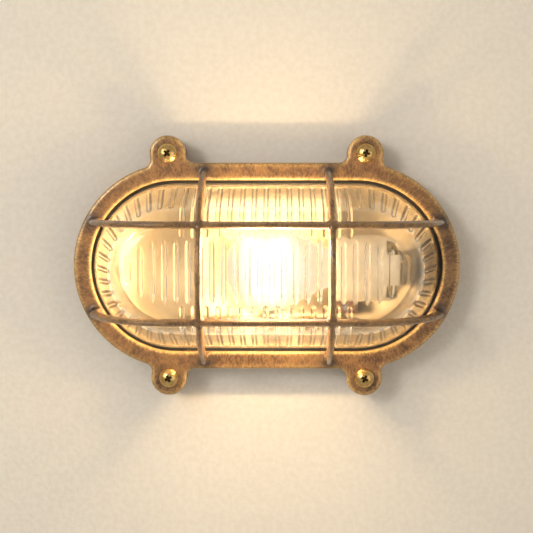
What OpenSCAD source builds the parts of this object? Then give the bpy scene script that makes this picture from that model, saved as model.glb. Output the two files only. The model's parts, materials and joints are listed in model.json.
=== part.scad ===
// Oval bulkhead light: cast brass base and caged guard, fluted pressed-glass lens, screw lamp.
// Pieces are drawn with the wall at height 0 and the front upwards, then stood against the wall,
// so the finished part has +X to the right, +Z up and its front towards -Y.

/* [Oval outline] */
// Distance between the centres of the two round ends
end_spacing = 128; // [110:1:170]
// Outer radius of the guard ring at its round ends
ring_r = 73.5; // [70:0.5:85]
// Width of the guard ring's flat face
ring_w = 12.5; // [11:0.5:14]
// Radius of the worn outer edge of the guard ring and its ears
ring_edge_r = 2; // [0.5:0.25:2.5]
// Radius of the ring's inner edge
ring_inner_edge_r = 1; // [0.3:0.1:1.5]

/* [Ears and guard screws] */
// Distance of each screw from the upright middle line
ear_x = 70; // [66:0.5:74]
// Distance of each screw outside the ring's outer edge
ear_rise = 6.5; // [5.5:0.5:8]
// Radius of an ear
ear_r = 12.8; // [12:0.1:14]
// Radius of the fillets between an ear and the ring
ear_fillet_r = 6; // [4:0.5:8]
// Radius of the guard screws' threaded shank
screw_r = 2.95; // [2.5:0.05:3.5]
// Radius of the guard screws' domed head
screw_head_r = 7.15; // [6:0.05:8]
// Height of the domed head
screw_head_h = 4.2; // [3:0.1:5]
// Length of the shank under the head
screw_len = 20; // [16:0.5:24]
// Width of the cross recess's arms
recess_w = 2.2; // [1:0.1:2.5]
// Depth of the cross recess
recess_depth = 2.6; // [1:0.1:2.8]

/* [Base casting] */
// Height of the base's rim above the wall
base_h = 15; // [12:0.5:24]
// Thickness of the base's floor
floor_t = 4; // [3:0.25:6]
// How far the base's outline lies inside the guard's
base_inset = 0.8; // [0.2:0.1:1.5]
// Width of the rim that the guard stands on
rim_w = 5; // [4:0.25:6]
// Depth of the lens seat below the rim
seat_depth = 3; // [2:0.25:5]
// Width of the seat's ledge
ledge_w = 8.5; // [7:0.25:10]
// Width of the groove for the wall seal
wall_groove_w = 5; // [3:0.5:7]
// Depth of the groove for the wall seal
wall_groove_depth = 2.5; // [1.5:0.25:4]
// Distance of the groove's outer side from the base's edge
wall_groove_edge = 4.5; // [3:0.5:6]

/* [Wall fixing] */
// Spacing of the wall screws from left to right
fixing_x = 100; // [80:1:120]
// Spacing of the wall screws from top to bottom
fixing_y = 90; // [80:1:96]
// Radius of the holes for the wall screws
fixing_hole_r = 2.75; // [2:0.05:3.5]
// Radius of the raised pad round each hole
fixing_pad_r = 6; // [5:0.5:8]
// Height of the raised pads above the floor
pad_h = 2; // [1:0.25:4]

/* [Lens] */
// Thickness of the gaskets over and under the lens flange
gasket_t = 2; // [1:0.25:3]
// Width of the gasket under the lens flange
seat_gasket_w = 5; // [4:0.25:7]
// Thickness of the lens flange
flange_t = 5; // [4:0.25:7]
// Space round the edge of the lens flange
flange_gap = 1; // [0.5:0.1:2]
// Thickness of the ring's lip over the flange
lip_t = 5; // [4:0.25:7]
// Gap between the ring's inner edge and the lens, where the gasket shows
lens_gap = 2.5; // [1.5:0.1:3.5]
// Height of the lens front above the ring's face
lens_rise = 51; // [46:0.5:56]
// Thickness of the glass
glass_t = 3.5; // [3:0.25:4.5]
// Lean of the lens wall from upright, in degrees
lens_lean = 20; // [18:1:20]
// Outer radius of the shoulder between wall and front
shoulder_r = 11; // [9:0.5:13]
// Radius of the shoulder on the inside of the glass
shoulder_in_r = 12; // [9:0.5:13]
// Radius of a flute's or rib's round back
flute_r = 1.9; // [1.5:0.05:2.2]
// How far the middle of a flute lies inside the glass
flute_sink = 0.6; // [0.3:0.05:0.9]
// Height of the flutes' lower ends above the root of the wall
flute_foot = 6; // [3:0.5:9]
// Height above the ring's face where the short flutes end
short_flute_top = 38; // [30:0.5:39]
// Length of the long flutes along the front, past the shoulder
flute_run = 3; // [1:0.5:5]
// Half length of the front ribs
rib_half = 23.2; // [20:0.2:24]
// How far the ribbed front reaches past the centre of a round end
rib_reach = 33; // [29:0.5:33]
// Length of a rib's pointed tip
rib_tip = 6; // [4:0.5:9]
// Flutes on each side of the middle, up to the centre of a round end
flutes_half = 8; // [6:1:9]
// Short flutes round each end
end_flutes = 19; // [13:2:21]

/* [Cage] */
// Distance of the cage's outer surface inside the ring's outer edge
cage_edge = 5.5; // [4:0.25:7]
// Height of the bars' straight feet above the ring's face
cage_leg = 9; // [6:0.5:20]
// Distance of the upright bars from the middle
upright_x = 43.5; // [35:0.5:52]
// Distance of the level bars from the middle
level_y = 32; // [28:0.5:36]
// Depth of a bar from front to back
bar_depth = 5.6; // [4:0.1:5.8]
// Width of a bar at its back
bar_back_w = 5.6; // [4:0.1:8]
// Width of a bar's rounded front
bar_front_w = 3.2; // [2:0.1:4]
// Radius of the small foot under each bar
foot_r = 4.4; // [3.5:0.1:4.8]
// Height of the small foot
foot_h = 2.2; // [1:0.1:4]

/* [Lamp] */
// Height of the lamp's axis above the wall
lamp_h = 36.5; // [35:0.25:38]
// Radius of the lamp's globe
globe_r = 30; // [20:0.5:30]
// Length of the lamp from its crown to the end of its cap
lamp_len = 105; // [95:1:110]
// Radius of the screw cap
cap_r = 13.1; // [12:0.1:13.3]
// Length of the screw cap, with its insulator and contact
cap_len = 26; // [24:0.5:28]

/* [Lampholder] */
// Distance of the holder's mouth from the middle
holder_x = 47.5; // [44:0.5:52]
// Radius of the porcelain body
holder_r = 23.5; // [21:0.5:25]
// Length of the porcelain body
holder_len = 45; // [43:0.5:47]
// Radius of the porcelain neck behind the body
neck_r = 10.5; // [9:0.5:12]
// Length of the porcelain neck
neck_len = 4; // [2:0.5:5]
// Radius of the threaded metal shell, outside
shell_r = 14.6; // [14.4:0.05:15]
// Thickness of the threaded shell
shell_t = 0.6; // [0.4:0.05:0.8]
// How deep the shell's bore goes into the porcelain
bore_depth = 31; // [30:0.25:33]
// Thickness of the springy middle contact
contact_t = 0.6; // [0.4:0.05:0.8]
// Width of the terminal recesses
terminal_recess_w = 9; // [8:0.5:10]
// Distance of the terminal recesses from the lamp's axis
terminal_recess_y = 15; // [14.5:0.25:15.5]
// Length of the terminal recesses
terminal_len = 9.5; // [9:0.25:11]
// Radius of the terminal screws' heads
terminal_head_r = 3.4; // [2.8:0.1:3.8]
// Radius of the terminal screws' shanks
terminal_shank_r = 1.7; // [1.3:0.05:2]
// Outer radius of the hollow threaded nipple
nipple_r = 4.9; // [4.5:0.05:5.5]
// Radius of the nipple's bore
nipple_bore_r = 3.4; // [2.5:0.05:3.8]
// How far the nipple screws into the porcelain
nipple_in = 9; // [6:0.5:10]
// Width of the nipple's nut across its flats
nut_flats = 14; // [13:0.5:17]
// Thickness of the nut
nut_t = 4.5; // [3:0.25:6]
// Thickness of the spring washer under the nut
washer_t = 1; // [0.6:0.1:1.5]

/* [Bracket] */
// Thickness of the bracket's strip
bracket_t = 2.5; // [2:0.25:3]
// Width of the bracket's strip
bracket_w = 24; // [20:1:26]
// Height of the bracket above the lamp's axis
bracket_top = 11; // [9:0.5:12]
// Space between the bracket's foot and the end of the base's hollow
foot_margin = 6; // [4:0.5:8]
// Distance between the two foot screws
foot_screw_spacing = 13; // [11:0.5:14]
// Radius of the small screws' shanks
small_shank_r = 1.95; // [1.5:0.05:2]
// Radius of the small screws' heads
small_head_r = 3.6; // [3.2:0.1:4]
// Height of the small screws' heads
small_head_h = 2.4; // [1.5:0.1:3]

/* [Terminals] */
// Place of the terminal block's middle, from the light's middle
block_x = 56.5; // [54:0.5:60]
// Distance of the terminal block below the level middle line
block_y = 30; // [29.5:0.25:31]
// Length of the terminal block
block_len = 18; // [17:0.5:20]
// Width of the terminal block
block_w = 10; // [9:0.5:11]
// Height of the terminal block
block_h = 12; // [11:0.5:14]
// Distance between the block's two sleeves
sleeve_spacing = 11; // [10.5:0.25:12]
// Outer radius of a sleeve
sleeve_r = 2.5; // [2.2:0.1:2.8]
// Radius of a sleeve's bore
sleeve_bore_r = 1.7; // [1.3:0.05:1.8]
// Radius of the block's terminal screws
clamp_screw_r = 1.4; // [1:0.05:1.6]
// Place of the earth screw, from the light's middle
earth_x = 28; // [26:0.5:32]
// Distance of the earth screw below the level middle line
earth_y = 46; // [44:0.5:48]
// Radius of the earth screw's boss
earth_boss_r = 5.5; // [5:0.25:6.5]
// Thickness of the earth screw's cupped washer
earth_washer_t = 1; // [0.6:0.1:1.5]

/* [Cable entry] */
// Place of the cable entry, from the light's middle
cable_x = 6; // [0:0.5:8]
// Distance of the cable entry below the level middle line
cable_y = 42; // [40:0.5:44]
// Radius of the cable hole through the grommet
cable_r = 4.5; // [3:0.1:5]
// Radius of the hole in the base's floor
grommet_r = 8; // [7:0.25:9]
// Radius of the grommet's two flanges
grommet_flange_r = 11; // [10.5:0.25:12]
// Thickness of the grommet's flanges
grommet_flange_t = 1.5; // [1:0.25:2]

/* [Fits] */
// Clearance of a screw in its tapped hole
thread_gap = 0.05; // [0.02:0.01:0.15]
// Clearance of a screw in a plain hole
hole_gap = 0.35; // [0.2:0.05:0.6]
// Clearance between pieces that fit inside one another
fit_gap = 0.15; // [0.05:0.05:0.3]
// Smoothness of round shapes
$fn = 72; // [24:8:128]

/* [Hidden] */

brass_aged = "#8a633d";
brass_bright = "#d9b062";
brass_raw = "#c39a52";
rubber_black = "#1d1c1b";
glass_clear = "#dfe3da";
porcelain_white = "#efe9dc";
phenolic_brown = "#5b3a22";
steel_plated = "#b9bcc0";
lamp_white = "#fff6e0";

// How far a cutter reaches past what it cuts, and a tapped hole past its screw's tip
over = 1;
hole_spare = 1;

// Levels, measured from the wall
half = end_spacing / 2;
seat_h = base_h - seat_depth;
flange_h = seat_h + gasket_t;
flange_top = flange_h + flange_t;
lip_h = flange_top + gasket_t;
face_h = lip_h + lip_t;
pad_top = floor_t + pad_h;
lens_top = face_h + lens_rise;
cage_base = face_h + cage_leg;

// Radii, measured from the middle line of the oval
ring_in_r = ring_r - ring_w;
seat_r = ring_r - rim_w;
flange_r = seat_r - flange_gap;
cavity_r = seat_r - ledge_w;
groove_out_r = ring_r - base_inset - wall_groove_edge;
groove_in_r = groove_out_r - wall_groove_w;
root_r = ring_in_r - lens_gap;
cage_r = ring_r - cage_edge;
level_r = sqrt(pow(cage_r, 2) - pow(level_y, 2));
ear_y = ring_r + ear_rise;

// Lens section: the wall leans in from the root, and a round shoulder leads to the flat front
wall_out = [cos(lens_lean), sin(lens_lean)];
wall_up = [-sin(lens_lean), cos(lens_lean)];
lens_root = [root_r, face_h];
lens_root_in = lens_root - glass_t * wall_out;
front_in_h = lens_top - glass_t;
shoulder_in_at = shoulder_mid(lens_root_in, shoulder_in_r, front_in_h);
long_flute_end = shoulder_in_at[0] - flute_run;
flute_pitch = half / flutes_half;

// Fillet centres beside the ear at the upper right, and how far a fillet dips into what it joins
fillet_sink = 0.05;
ear_at = [ear_x, ear_y];
inner_fillet = [
    ear_x - sqrt(pow(ear_r + ear_fillet_r, 2) - pow(ear_y - ring_r - ear_fillet_r, 2)),
    ring_r + ear_fillet_r
];
ear_from_end = [ear_x - half, ear_y];
ear_dist = norm(ear_from_end);
fillet_along = (pow(ear_dist, 2) + pow(ring_r + ear_fillet_r, 2) - pow(ear_r + ear_fillet_r, 2))
    / (2 * ear_dist);
fillet_aside = sqrt(pow(ring_r + ear_fillet_r, 2) - pow(fillet_along, 2));
outer_fillet = [half, 0] + (ear_from_end * fillet_along
    + [ear_from_end[1], -ear_from_end[0]] * fillet_aside) / ear_dist;

// Lampholder places along the lamp's axis
lamp_tip = holder_x + bore_depth - contact_t * 4;
crown_x = lamp_tip - lamp_len;
globe_x = crown_x + globe_r;
cap_x = lamp_tip - cap_len;
body_end = holder_x + holder_len;
neck_end = body_end + neck_len;
bracket_end = neck_end + bracket_t;
nipple_start = neck_end - nipple_in;
nut_start = bracket_end + washer_t;
nipple_spare = 1.5;
nipple_end = nut_start + nut_t + nipple_spare;
bracket_foot = half + cavity_r - foot_margin - bracket_end;
foot_screw_x = bracket_end + bracket_foot * 0.6;
bore_floor = holder_x + bore_depth;

// Terminals in the lampholder, and the screw of its middle contact
recess_drop = 4;
terminal_floor = lamp_h - recess_drop;
terminal_x = body_end - terminal_len / 2;
terminal_shank_len = 6;
terminal_head_h = 2.4;
plate_t = 1;
contact_screw_y = 9.5;
contact_screw_len = 4;
contact_head_r = 2.4;
contact_head_h = 1.5;

// Terminal block
sleeve_h = floor_t + block_h / 2 - 1;
block_head_r = 2.3;
block_head_h = 1.8;
block_head_drop = 3;
clamp_lift = 0.6;

// Turn of each guard screw's recess, from the upper right and round by the left
recess_turns = [12, 38, 64, 25];

// Middle of the shoulder of a lens face whose wall starts at root and whose front is at height top
function shoulder_mid(root, shoulder, top) = [
    root[0] - (shoulder + (top - shoulder - root[1]) * wall_out[1]) / wall_out[0],
    top - shoulder
];

function rib_length(x) = x <= half ? rib_half
    : rib_half * sqrt(max(0, 1 - pow((x - half) / rib_reach, 2)));

// Stands a piece drawn on the wall plane against the wall
module on_wall() {
    rotate([90, 0, 0]) children();
}

module four_corners(x, y) {
    for (sx = [-1, 1], sy = [-1, 1]) translate([sx * x, sy * y, 0]) children();
}

module mirrored_four() {
    for (mx = [0, 1], my = [0, 1]) mirror([mx, 0, 0]) mirror([0, my, 0]) children();
}

module stadium(r) {
    for (s = [-1, 1]) translate([s * half, 0]) circle(r);
    square([end_spacing, 2 * r], center = true);
}

module stadium_band(r_out, r_in, h0, h1) {
    translate([0, 0, h0]) linear_extrude(h1 - h0) difference() {
        stadium(r_out);
        stadium(r_in);
    }
}

module stadium_block(r, h0, h1) {
    translate([0, 0, h0]) linear_extrude(h1 - h0) stadium(r);
}

// Cutter for a hole through a piece that stands on height 0
module through(h, r) {
    translate([0, 0, -over]) cylinder(h = h + 2 * over, r = r);
}

// Carries a section, drawn as radius and height, round the oval
module oval_sweep() {
    for (s = [0, 1]) mirror([s, 0, 0]) translate([half, 0, 0])
        rotate([0, 0, -90]) rotate_extrude(angle = 180) children();
    for (s = [0, 1]) mirror([0, s, 0]) translate([-half, 0, 0])
        rotate([90, 0, 90]) linear_extrude(end_spacing) children();
}

// Outline of the ring or base with its ears and their fillets, drawn in by inset
module eared_outline(inset) {
    stadium(ring_r - inset);
    mirrored_four() {
        translate(ear_at) circle(ear_r - inset);
        ear_web(inner_fillet, [inner_fillet[0], 0], inset);
        ear_web(outer_fillet, [half, 0], inset);
    }
}

// What a fillet adds between an ear and the ring, whose middle lies towards ring_mid
module ear_web(fillet_at, ring_mid, inset) {
    to_ring = (ring_mid - fillet_at) / norm(ring_mid - fillet_at);
    depth = ring_w / 2;
    difference() {
        polygon([
            fillet_at,
            fillet_at + (ear_fillet_r + depth) * to_ring,
            [ear_x, ring_r - depth],
            ear_at
        ]);
        translate(fillet_at) circle(ear_fillet_r + inset + fillet_sink);
    }
}

// The eared plate from h0 to h1, its front edge rounded off in fine terraces
module eared_plate(h0, h1, edge, terraces) {
    step = 90 / terraces;
    translate([0, 0, h0]) linear_extrude(h1 - h0 - edge) eared_outline(0);
    for (i = [0 : terraces - 1]) {
        low = h1 - edge + edge * sin(i * step);
        high = h1 - edge + edge * sin((i + 1) * step);
        translate([0, 0, low]) linear_extrude(high - low)
            eared_outline(edge * (1 - cos((i + 0.5) * step)));
    }
}

// What is worn off the ring's inner edge at radius r
module inner_edge_section(r, h, edge) {
    spill = 0.2;
    mid = edge * (1 - sqrt(0.5));
    past = spill * (edge - mid) / mid;
    polygon([
        [r + edge + past, h + spill],
        [r + mid, h - mid],
        [r - spill, h - edge - past],
        [r - 2 * spill, h - edge - past],
        [r - 2 * spill, h + spill]
    ]);
}

// A screw pointing down from height 0, with a slotted cheese head above
module slotted_screw(shank_r, shank_len, head_r, head_h) {
    difference() {
        union() {
            translate([0, 0, -shank_len]) cylinder(h = shank_len + head_h / 2, r = shank_r);
            cylinder(h = head_h, r = head_r);
        }
        translate([-head_r, -head_r / 8, head_h * 0.55]) cube([2 * head_r, head_r / 4, head_h]);
    }
}

module base_casting() {
    color(brass_aged) on_wall() difference() {
        union() {
            difference() {
                linear_extrude(base_h) eared_outline(base_inset);
                stadium_block(cavity_r, floor_t, base_h + over);
                stadium_block(seat_r, seat_h, base_h + over);
            }
            four_corners(fixing_x / 2, fixing_y / 2)
                translate([0, 0, floor_t / 2]) cylinder(h = pad_top - floor_t / 2, r = fixing_pad_r);
            translate([earth_x, -earth_y, floor_t / 2])
                cylinder(h = pad_top - floor_t / 2, r = earth_boss_r);
            translate([bracket_end, -bracket_w / 2, floor_t / 2])
                cube([bracket_foot, bracket_w, pad_top - floor_t / 2]);
        }
        four_corners(ear_x, ear_y) translate([0, 0, face_h - screw_len - hole_spare])
            cylinder(h = screw_len, r = screw_r + thread_gap);
        four_corners(fixing_x / 2, fixing_y / 2) through(pad_top, fixing_hole_r);
        stadium_band(groove_out_r, groove_in_r, -over, wall_groove_depth);
        translate([earth_x, -earth_y, hole_spare])
            cylinder(h = pad_top, r = small_shank_r + thread_gap);
        for (s = [-1, 1]) translate([foot_screw_x, s * foot_screw_spacing / 2, hole_spare])
            cylinder(h = pad_top, r = small_shank_r + thread_gap);
        translate([block_x, -block_y, hole_spare])
            cylinder(h = floor_t, r = clamp_screw_r + thread_gap);
        translate([cable_x, -cable_y, 0]) {
            through(floor_t, grommet_r);
            translate([0, 0, -over])
                cylinder(h = grommet_flange_t + over, r = grommet_flange_r + fit_gap);
        }
    }
}

module wall_seal() {
    color(rubber_black) on_wall()
        stadium_band(groove_out_r, groove_in_r, 0, wall_groove_depth);
}

module lens_seat_gasket() {
    color(rubber_black) on_wall() stadium_band(flange_r, flange_r - seat_gasket_w, seat_h, flange_h);
}

module guard_gasket() {
    color(rubber_black) on_wall() stadium_band(flange_r, root_r + fit_gap, flange_top, lip_h);
}

// Filled section of the lens from its foot to its front, for the outer face or the inner one
module lens_section(foot_h, root, shoulder, top) {
    mid = shoulder_mid(root, shoulder, top);
    union() {
        polygon([
            [0, foot_h],
            [root[0], foot_h],
            root,
            mid + shoulder * wall_out,
            [mid[0], top],
            [0, top]
        ]);
        translate(mid) circle(shoulder);
    }
}

// A solid oval dome of a section: two half turns and the straight run between them
module lens_dome(foot_h, root, shoulder, top) {
    for (s = [0, 1]) mirror([s, 0, 0]) translate([half, 0, 0]) rotate([0, 0, -90])
        rotate_extrude(angle = 180) intersection() {
            lens_section(foot_h, root, shoulder, top);
            square([2 * ring_r, 2 * lens_top]);
        }
    translate([-half, 0, 0]) rotate([90, 0, 90]) linear_extrude(end_spacing)
        for (s = [0, 1]) mirror([s, 0]) lens_section(foot_h, root, shoulder, top);
}

// A flute up the inside of the wall, in the plane across the oval
module wall_flute(top, round_top) {
    start = lens_root_in + flute_foot / wall_up[1] * wall_up + flute_sink * wall_out;
    run = (face_h + top - start[1]) / wall_up[1];
    translate([0, start[0], start[1]]) rotate([lens_lean, 0, 0]) {
        cylinder(h = run, r = flute_r);
        sphere(flute_r);
        if (round_top) translate([0, 0, run]) sphere(flute_r);
    }
}

// A flute that goes on over the shoulder and along the front
module long_flute() {
    bend_r = shoulder_in_r + flute_sink;
    bend_h = shoulder_in_at[1] + bend_r * wall_out[1];
    wall_flute(bend_h - face_h, false);
    translate([0, shoulder_in_at[0], shoulder_in_at[1]]) rotate([90, 0, 90]) rotate([0, 0, lens_lean])
        rotate_extrude(angle = 90 - lens_lean) translate([bend_r, 0]) circle(flute_r);
    translate([0, shoulder_in_at[0], front_in_h + flute_sink]) rotate([90, 0, 0])
        cylinder(h = flute_run, r = flute_r);
    translate([0, long_flute_end, front_in_h + flute_sink]) sphere(flute_r);
}

// A rib across the inside of the front, pointed at both ends
module front_rib(half_len) {
    straight = half_len - rib_tip;
    translate([0, 0, front_in_h + flute_sink]) {
        rotate([90, 0, 0]) cylinder(h = 2 * straight, r = flute_r, center = true);
        for (s = [-1, 1]) translate([0, s * straight, 0]) rotate([-90 * s, 0, 0])
            cylinder(h = rib_tip, r1 = flute_r, r2 = flute_sink * 0.9);
    }
}

module glass_lens() {
    color(glass_clear) on_wall() {
        difference() {
            union() {
                lens_dome(flange_h, lens_root, shoulder_r, lens_top);
                stadium_block(flange_r, flange_h, flange_top);
            }
            lens_dome(flange_h - over, lens_root_in, shoulder_in_r, front_in_h);
        }
        for (s = [0, 1], i = [1 - flutes_half : flutes_half - 1])
            mirror([0, s, 0]) translate([i * flute_pitch, 0, 0]) long_flute();
        for (s = [0, 1], i = [0 : end_flutes - 1])
            mirror([s, 0, 0]) translate([half, 0, 0]) rotate([0, 0, -i * 180 / (end_flutes - 1)])
                wall_flute(short_flute_top, true);
        for (s = [-1, 1], i = [0 : floor((half + rib_reach) / flute_pitch - 1)]) {
            x = (i + 0.5) * flute_pitch;
            if (rib_length(x) > 1.5 * rib_tip) translate([s * x, 0, 0]) front_rib(rib_length(x));
        }
    }
}

// Section of a cage bar, with its rounded front at x = 0 and its back at -bar_depth
module bar_section() {
    ridge = bar_front_w / 2;
    polygon([
        [-bar_depth, -bar_back_w / 2],
        [-ridge, -ridge],
        [-ridge, ridge],
        [-bar_depth, bar_back_w / 2]
    ]);
    translate([-ridge, 0]) circle(ridge);
}

// A bar's straight foot, standing in the ring with its front outwards
module bar_leg(reach) {
    sink = lip_t / 2;
    foot_sink = ring_inner_edge_r;
    translate([reach, 0, face_h - sink]) linear_extrude(cage_leg + sink) bar_section();
    translate([reach - bar_front_w / 2, 0, face_h - foot_sink])
        cylinder(h = foot_h + foot_sink, r1 = foot_r, r2 = bar_front_w / 2);
}

module upright_bar() {
    translate([0, 0, cage_base]) rotate([90, 0, 90])
        rotate_extrude(angle = 180) translate([cage_r, 0]) bar_section();
    for (s = [-1, 1]) rotate([0, 0, 90 * s]) bar_leg(cage_r);
}

module level_bar() {
    translate([0, 0, cage_base + level_r]) rotate([0, -90, 0])
        linear_extrude(end_spacing, center = true) bar_section();
    for (s = [0, 1]) mirror([s, 0, 0]) {
        translate([half, 0, cage_base]) rotate([90, 0, 0])
            rotate_extrude(angle = 90) translate([level_r, 0]) bar_section();
        bar_leg(half + level_r);
    }
}

module guard_frame() {
    color(brass_aged) on_wall() difference() {
        union() {
            difference() {
                eared_plate(base_h, face_h, ring_edge_r, 4);
                stadium_block(ring_in_r, base_h - over, face_h + over);
                oval_sweep() inner_edge_section(ring_in_r, face_h, ring_inner_edge_r);
            }
            for (s = [-1, 1]) translate([s * upright_x, 0, 0]) upright_bar();
            for (s = [-1, 1]) translate([0, s * level_y, 0]) level_bar();
        }
        stadium_block(seat_r, base_h - over, lip_h);
        four_corners(ear_x, ear_y) through(face_h, screw_r + hole_gap);
    }
}

// A domed screw with a cross recess, its head standing on height 0
module guard_screw(turn) {
    dome_r = (pow(screw_head_r, 2) + pow(screw_head_h, 2)) / (2 * screw_head_h);
    difference() {
        union() {
            translate([0, 0, -screw_len]) cylinder(h = screw_len + 1, r = screw_r);
            intersection() {
                translate([0, 0, screw_head_h - dome_r]) sphere(dome_r);
                cylinder(h = screw_head_h + 1, r = screw_head_r - 0.15);
            }
        }
        rotate([0, 0, turn]) translate([0, 0, screw_head_h - recess_depth]) {
            for (a = [0, 90]) rotate([0, 0, a])
                translate([-screw_head_r / 2, -recess_w / 2, 0])
                    cube([screw_head_r, recess_w, screw_head_h]);
        }
    }
}

module guard_screws() {
    color(brass_bright) on_wall() for (i = [0 : 3]) {
        sx = i == 0 || i == 3 ? 1 : -1;
        sy = i < 2 ? 1 : -1;
        translate([sx * ear_x, sy * ear_y, face_h]) guard_screw(recess_turns[i]);
    }
}

// Lays a piece turned about the upright along the lamp's axis, from left to right
module along_lamp() {
    translate([0, 0, lamp_h]) rotate([0, 90, 0]) children();
}

module lamp() {
    neck_r0 = cap_r - 0.6;
    neck_flare = 1.6;
    neck_run = 8;
    neck_turn = acos((globe_r - neck_r0) / (cap_x - globe_x) * 0.9);
    insulator_len = 5;
    contact_len = 1.2;
    tip_r = 4.8;
    color(lamp_white) on_wall() along_lamp() rotate_extrude() {
        intersection() {
            translate([0, globe_x]) circle(globe_r);
            translate([0, crown_x - 1]) square([globe_r + 1, 2 * globe_r + 2]);
        }
        polygon([
            [0, globe_x],
            [globe_r * sin(neck_turn), globe_x + globe_r * cos(neck_turn)],
            [neck_r0 + neck_flare, cap_x - neck_run],
            [neck_r0, cap_x],
            [0, cap_x]
        ]);
        translate([0, cap_x]) square([cap_r, cap_len - insulator_len]);
        polygon([
            [0, lamp_tip - insulator_len],
            [cap_r, lamp_tip - insulator_len],
            [tip_r + 1, lamp_tip - contact_len],
            [tip_r, lamp_tip],
            [0, lamp_tip]
        ]);
    }
}

module lampholder_body() {
    edge = 2;
    color(porcelain_white) on_wall() difference() {
        along_lamp() translate([0, 0, holder_x]) rotate_extrude() {
            square([holder_r - edge, holder_len]);
            translate([0, edge]) square([holder_r, holder_len - 2 * edge]);
            for (z = [edge, holder_len - edge]) translate([holder_r - edge, z]) circle(edge);
            square([neck_r, holder_len + neck_len]);
        }
        along_lamp() translate([0, 0, holder_x - over])
            cylinder(h = bore_depth + over, r = shell_r + fit_gap);
        along_lamp() translate([0, 0, nipple_start])
            cylinder(h = nipple_in + over, r = nipple_r + thread_gap);
        for (s = [-1, 1]) {
            translate([terminal_x, s * terminal_recess_y, terminal_floor]) {
                translate([-terminal_len / 2, -terminal_recess_w / 2, 0])
                    cube([terminal_len + over, terminal_recess_w, 2 * holder_r]);
                translate([0, 0, -terminal_shank_len])
                    cylinder(h = terminal_shank_len + over, r = terminal_shank_r + thread_gap);
            }
        }
        translate([bore_floor - over, contact_screw_y, lamp_h]) rotate([0, 90, 0])
            cylinder(h = over + contact_screw_len, r = clamp_screw_r + thread_gap);
    }
}

module lampholder_shell() {
    front = 2.5;
    floor_gap = 8;
    bottom = bore_depth - floor_gap;
    color(steel_plated) on_wall() along_lamp() translate([0, 0, holder_x + front]) difference() {
        cylinder(h = bottom - front, r = shell_r);
        through(bottom - front, shell_r - shell_t);
    }
}

// A strip screwed to the floor of the bore, bent up to meet the lamp's tip
module middle_contact() {
    strip_w = 6;
    bend = 3;
    color(brass_raw) on_wall() difference() {
        translate([0, 0, lamp_h - strip_w / 2]) linear_extrude(strip_w) polygon([
            [bore_floor, contact_screw_y + bend],
            [bore_floor, contact_screw_y - bend],
            [lamp_tip + contact_t, bend],
            [lamp_tip + contact_t, -bend - over],
            [lamp_tip, -bend - over],
            [lamp_tip, bend + contact_t / 3],
            [bore_floor - contact_t, contact_screw_y - bend + contact_t / 3],
            [bore_floor - contact_t, contact_screw_y + bend]
        ]);
        translate([bore_floor - contact_t, contact_screw_y, lamp_h]) rotate([0, 90, 0])
            through(contact_t, clamp_screw_r + hole_gap);
    }
}

module contact_screw() {
    color(brass_bright) on_wall()
        translate([bore_floor - contact_t, contact_screw_y, lamp_h]) rotate([0, -90, 0])
            slotted_screw(clamp_screw_r, contact_screw_len, contact_head_r, contact_head_h);
}

// Bent plates that carry the current from the contacts to the terminal screws
module holder_terminals() {
    plate_w = terminal_recess_w - 2 * fit_gap;
    color(brass_raw) on_wall() for (s = [-1, 1])
        translate([terminal_x, s * terminal_recess_y, terminal_floor]) difference() {
            translate([fit_gap - terminal_len / 2, -plate_w / 2, 0])
                cube([terminal_len - fit_gap, plate_w, plate_t]);
            through(plate_t, terminal_shank_r + hole_gap);
        }
}

module holder_terminal_screws() {
    color(brass_bright) on_wall() for (s = [-1, 1])
        translate([terminal_x, s * terminal_recess_y, terminal_floor + plate_t])
            slotted_screw(terminal_shank_r, terminal_shank_len, terminal_head_r, terminal_head_h);
}

module holder_nipple() {
    color(brass_bright) on_wall() along_lamp() translate([0, 0, nipple_start]) difference() {
        cylinder(h = nipple_end - nipple_start, r = nipple_r);
        through(nipple_end - nipple_start, nipple_bore_r);
    }
}

module nipple_nut() {
    color(brass_bright) on_wall() along_lamp() translate([0, 0, nut_start]) difference() {
        cylinder(h = nut_t, r = nut_flats / 2 / cos(30), $fn = 6);
        through(nut_t, nipple_r + thread_gap);
    }
}

module nipple_washer() {
    slit = 0.8;
    margin = 1;
    color(steel_plated) on_wall() along_lamp() translate([0, 0, bracket_end]) difference() {
        cylinder(h = washer_t, r = nut_flats / 2 + margin);
        through(washer_t, nipple_r + hole_gap);
        translate([0, -slit / 2, -over]) cube([nut_flats, slit, washer_t + 2 * over]);
    }
}

module holder_bracket() {
    color(brass_raw) on_wall() difference() {
        union() {
            translate([neck_end, -bracket_w / 2, pad_top]) cube([bracket_t, bracket_w, lamp_h - pad_top]);
            translate([neck_end, 0, lamp_h]) rotate([0, 90, 0]) intersection() {
                cylinder(h = bracket_t, r = bracket_w / 2);
                translate([-bracket_top, -bracket_w / 2, 0]) cube([2 * bracket_top, bracket_w, bracket_t]);
            }
            translate([neck_end, -bracket_w / 2, pad_top])
                cube([bracket_t + bracket_foot, bracket_w, bracket_t]);
        }
        along_lamp() translate([0, 0, neck_end]) through(bracket_t, nipple_r + hole_gap);
        for (s = [-1, 1]) translate([foot_screw_x, s * foot_screw_spacing / 2, pad_top])
            through(bracket_t, small_shank_r + hole_gap);
    }
}

module bracket_screws() {
    color(brass_bright) on_wall() for (s = [-1, 1])
        translate([foot_screw_x, s * foot_screw_spacing / 2, pad_top + bracket_t])
            slotted_screw(small_shank_r, pad_top + bracket_t - 1.5 * hole_spare, small_head_r, small_head_h);
}

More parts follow.
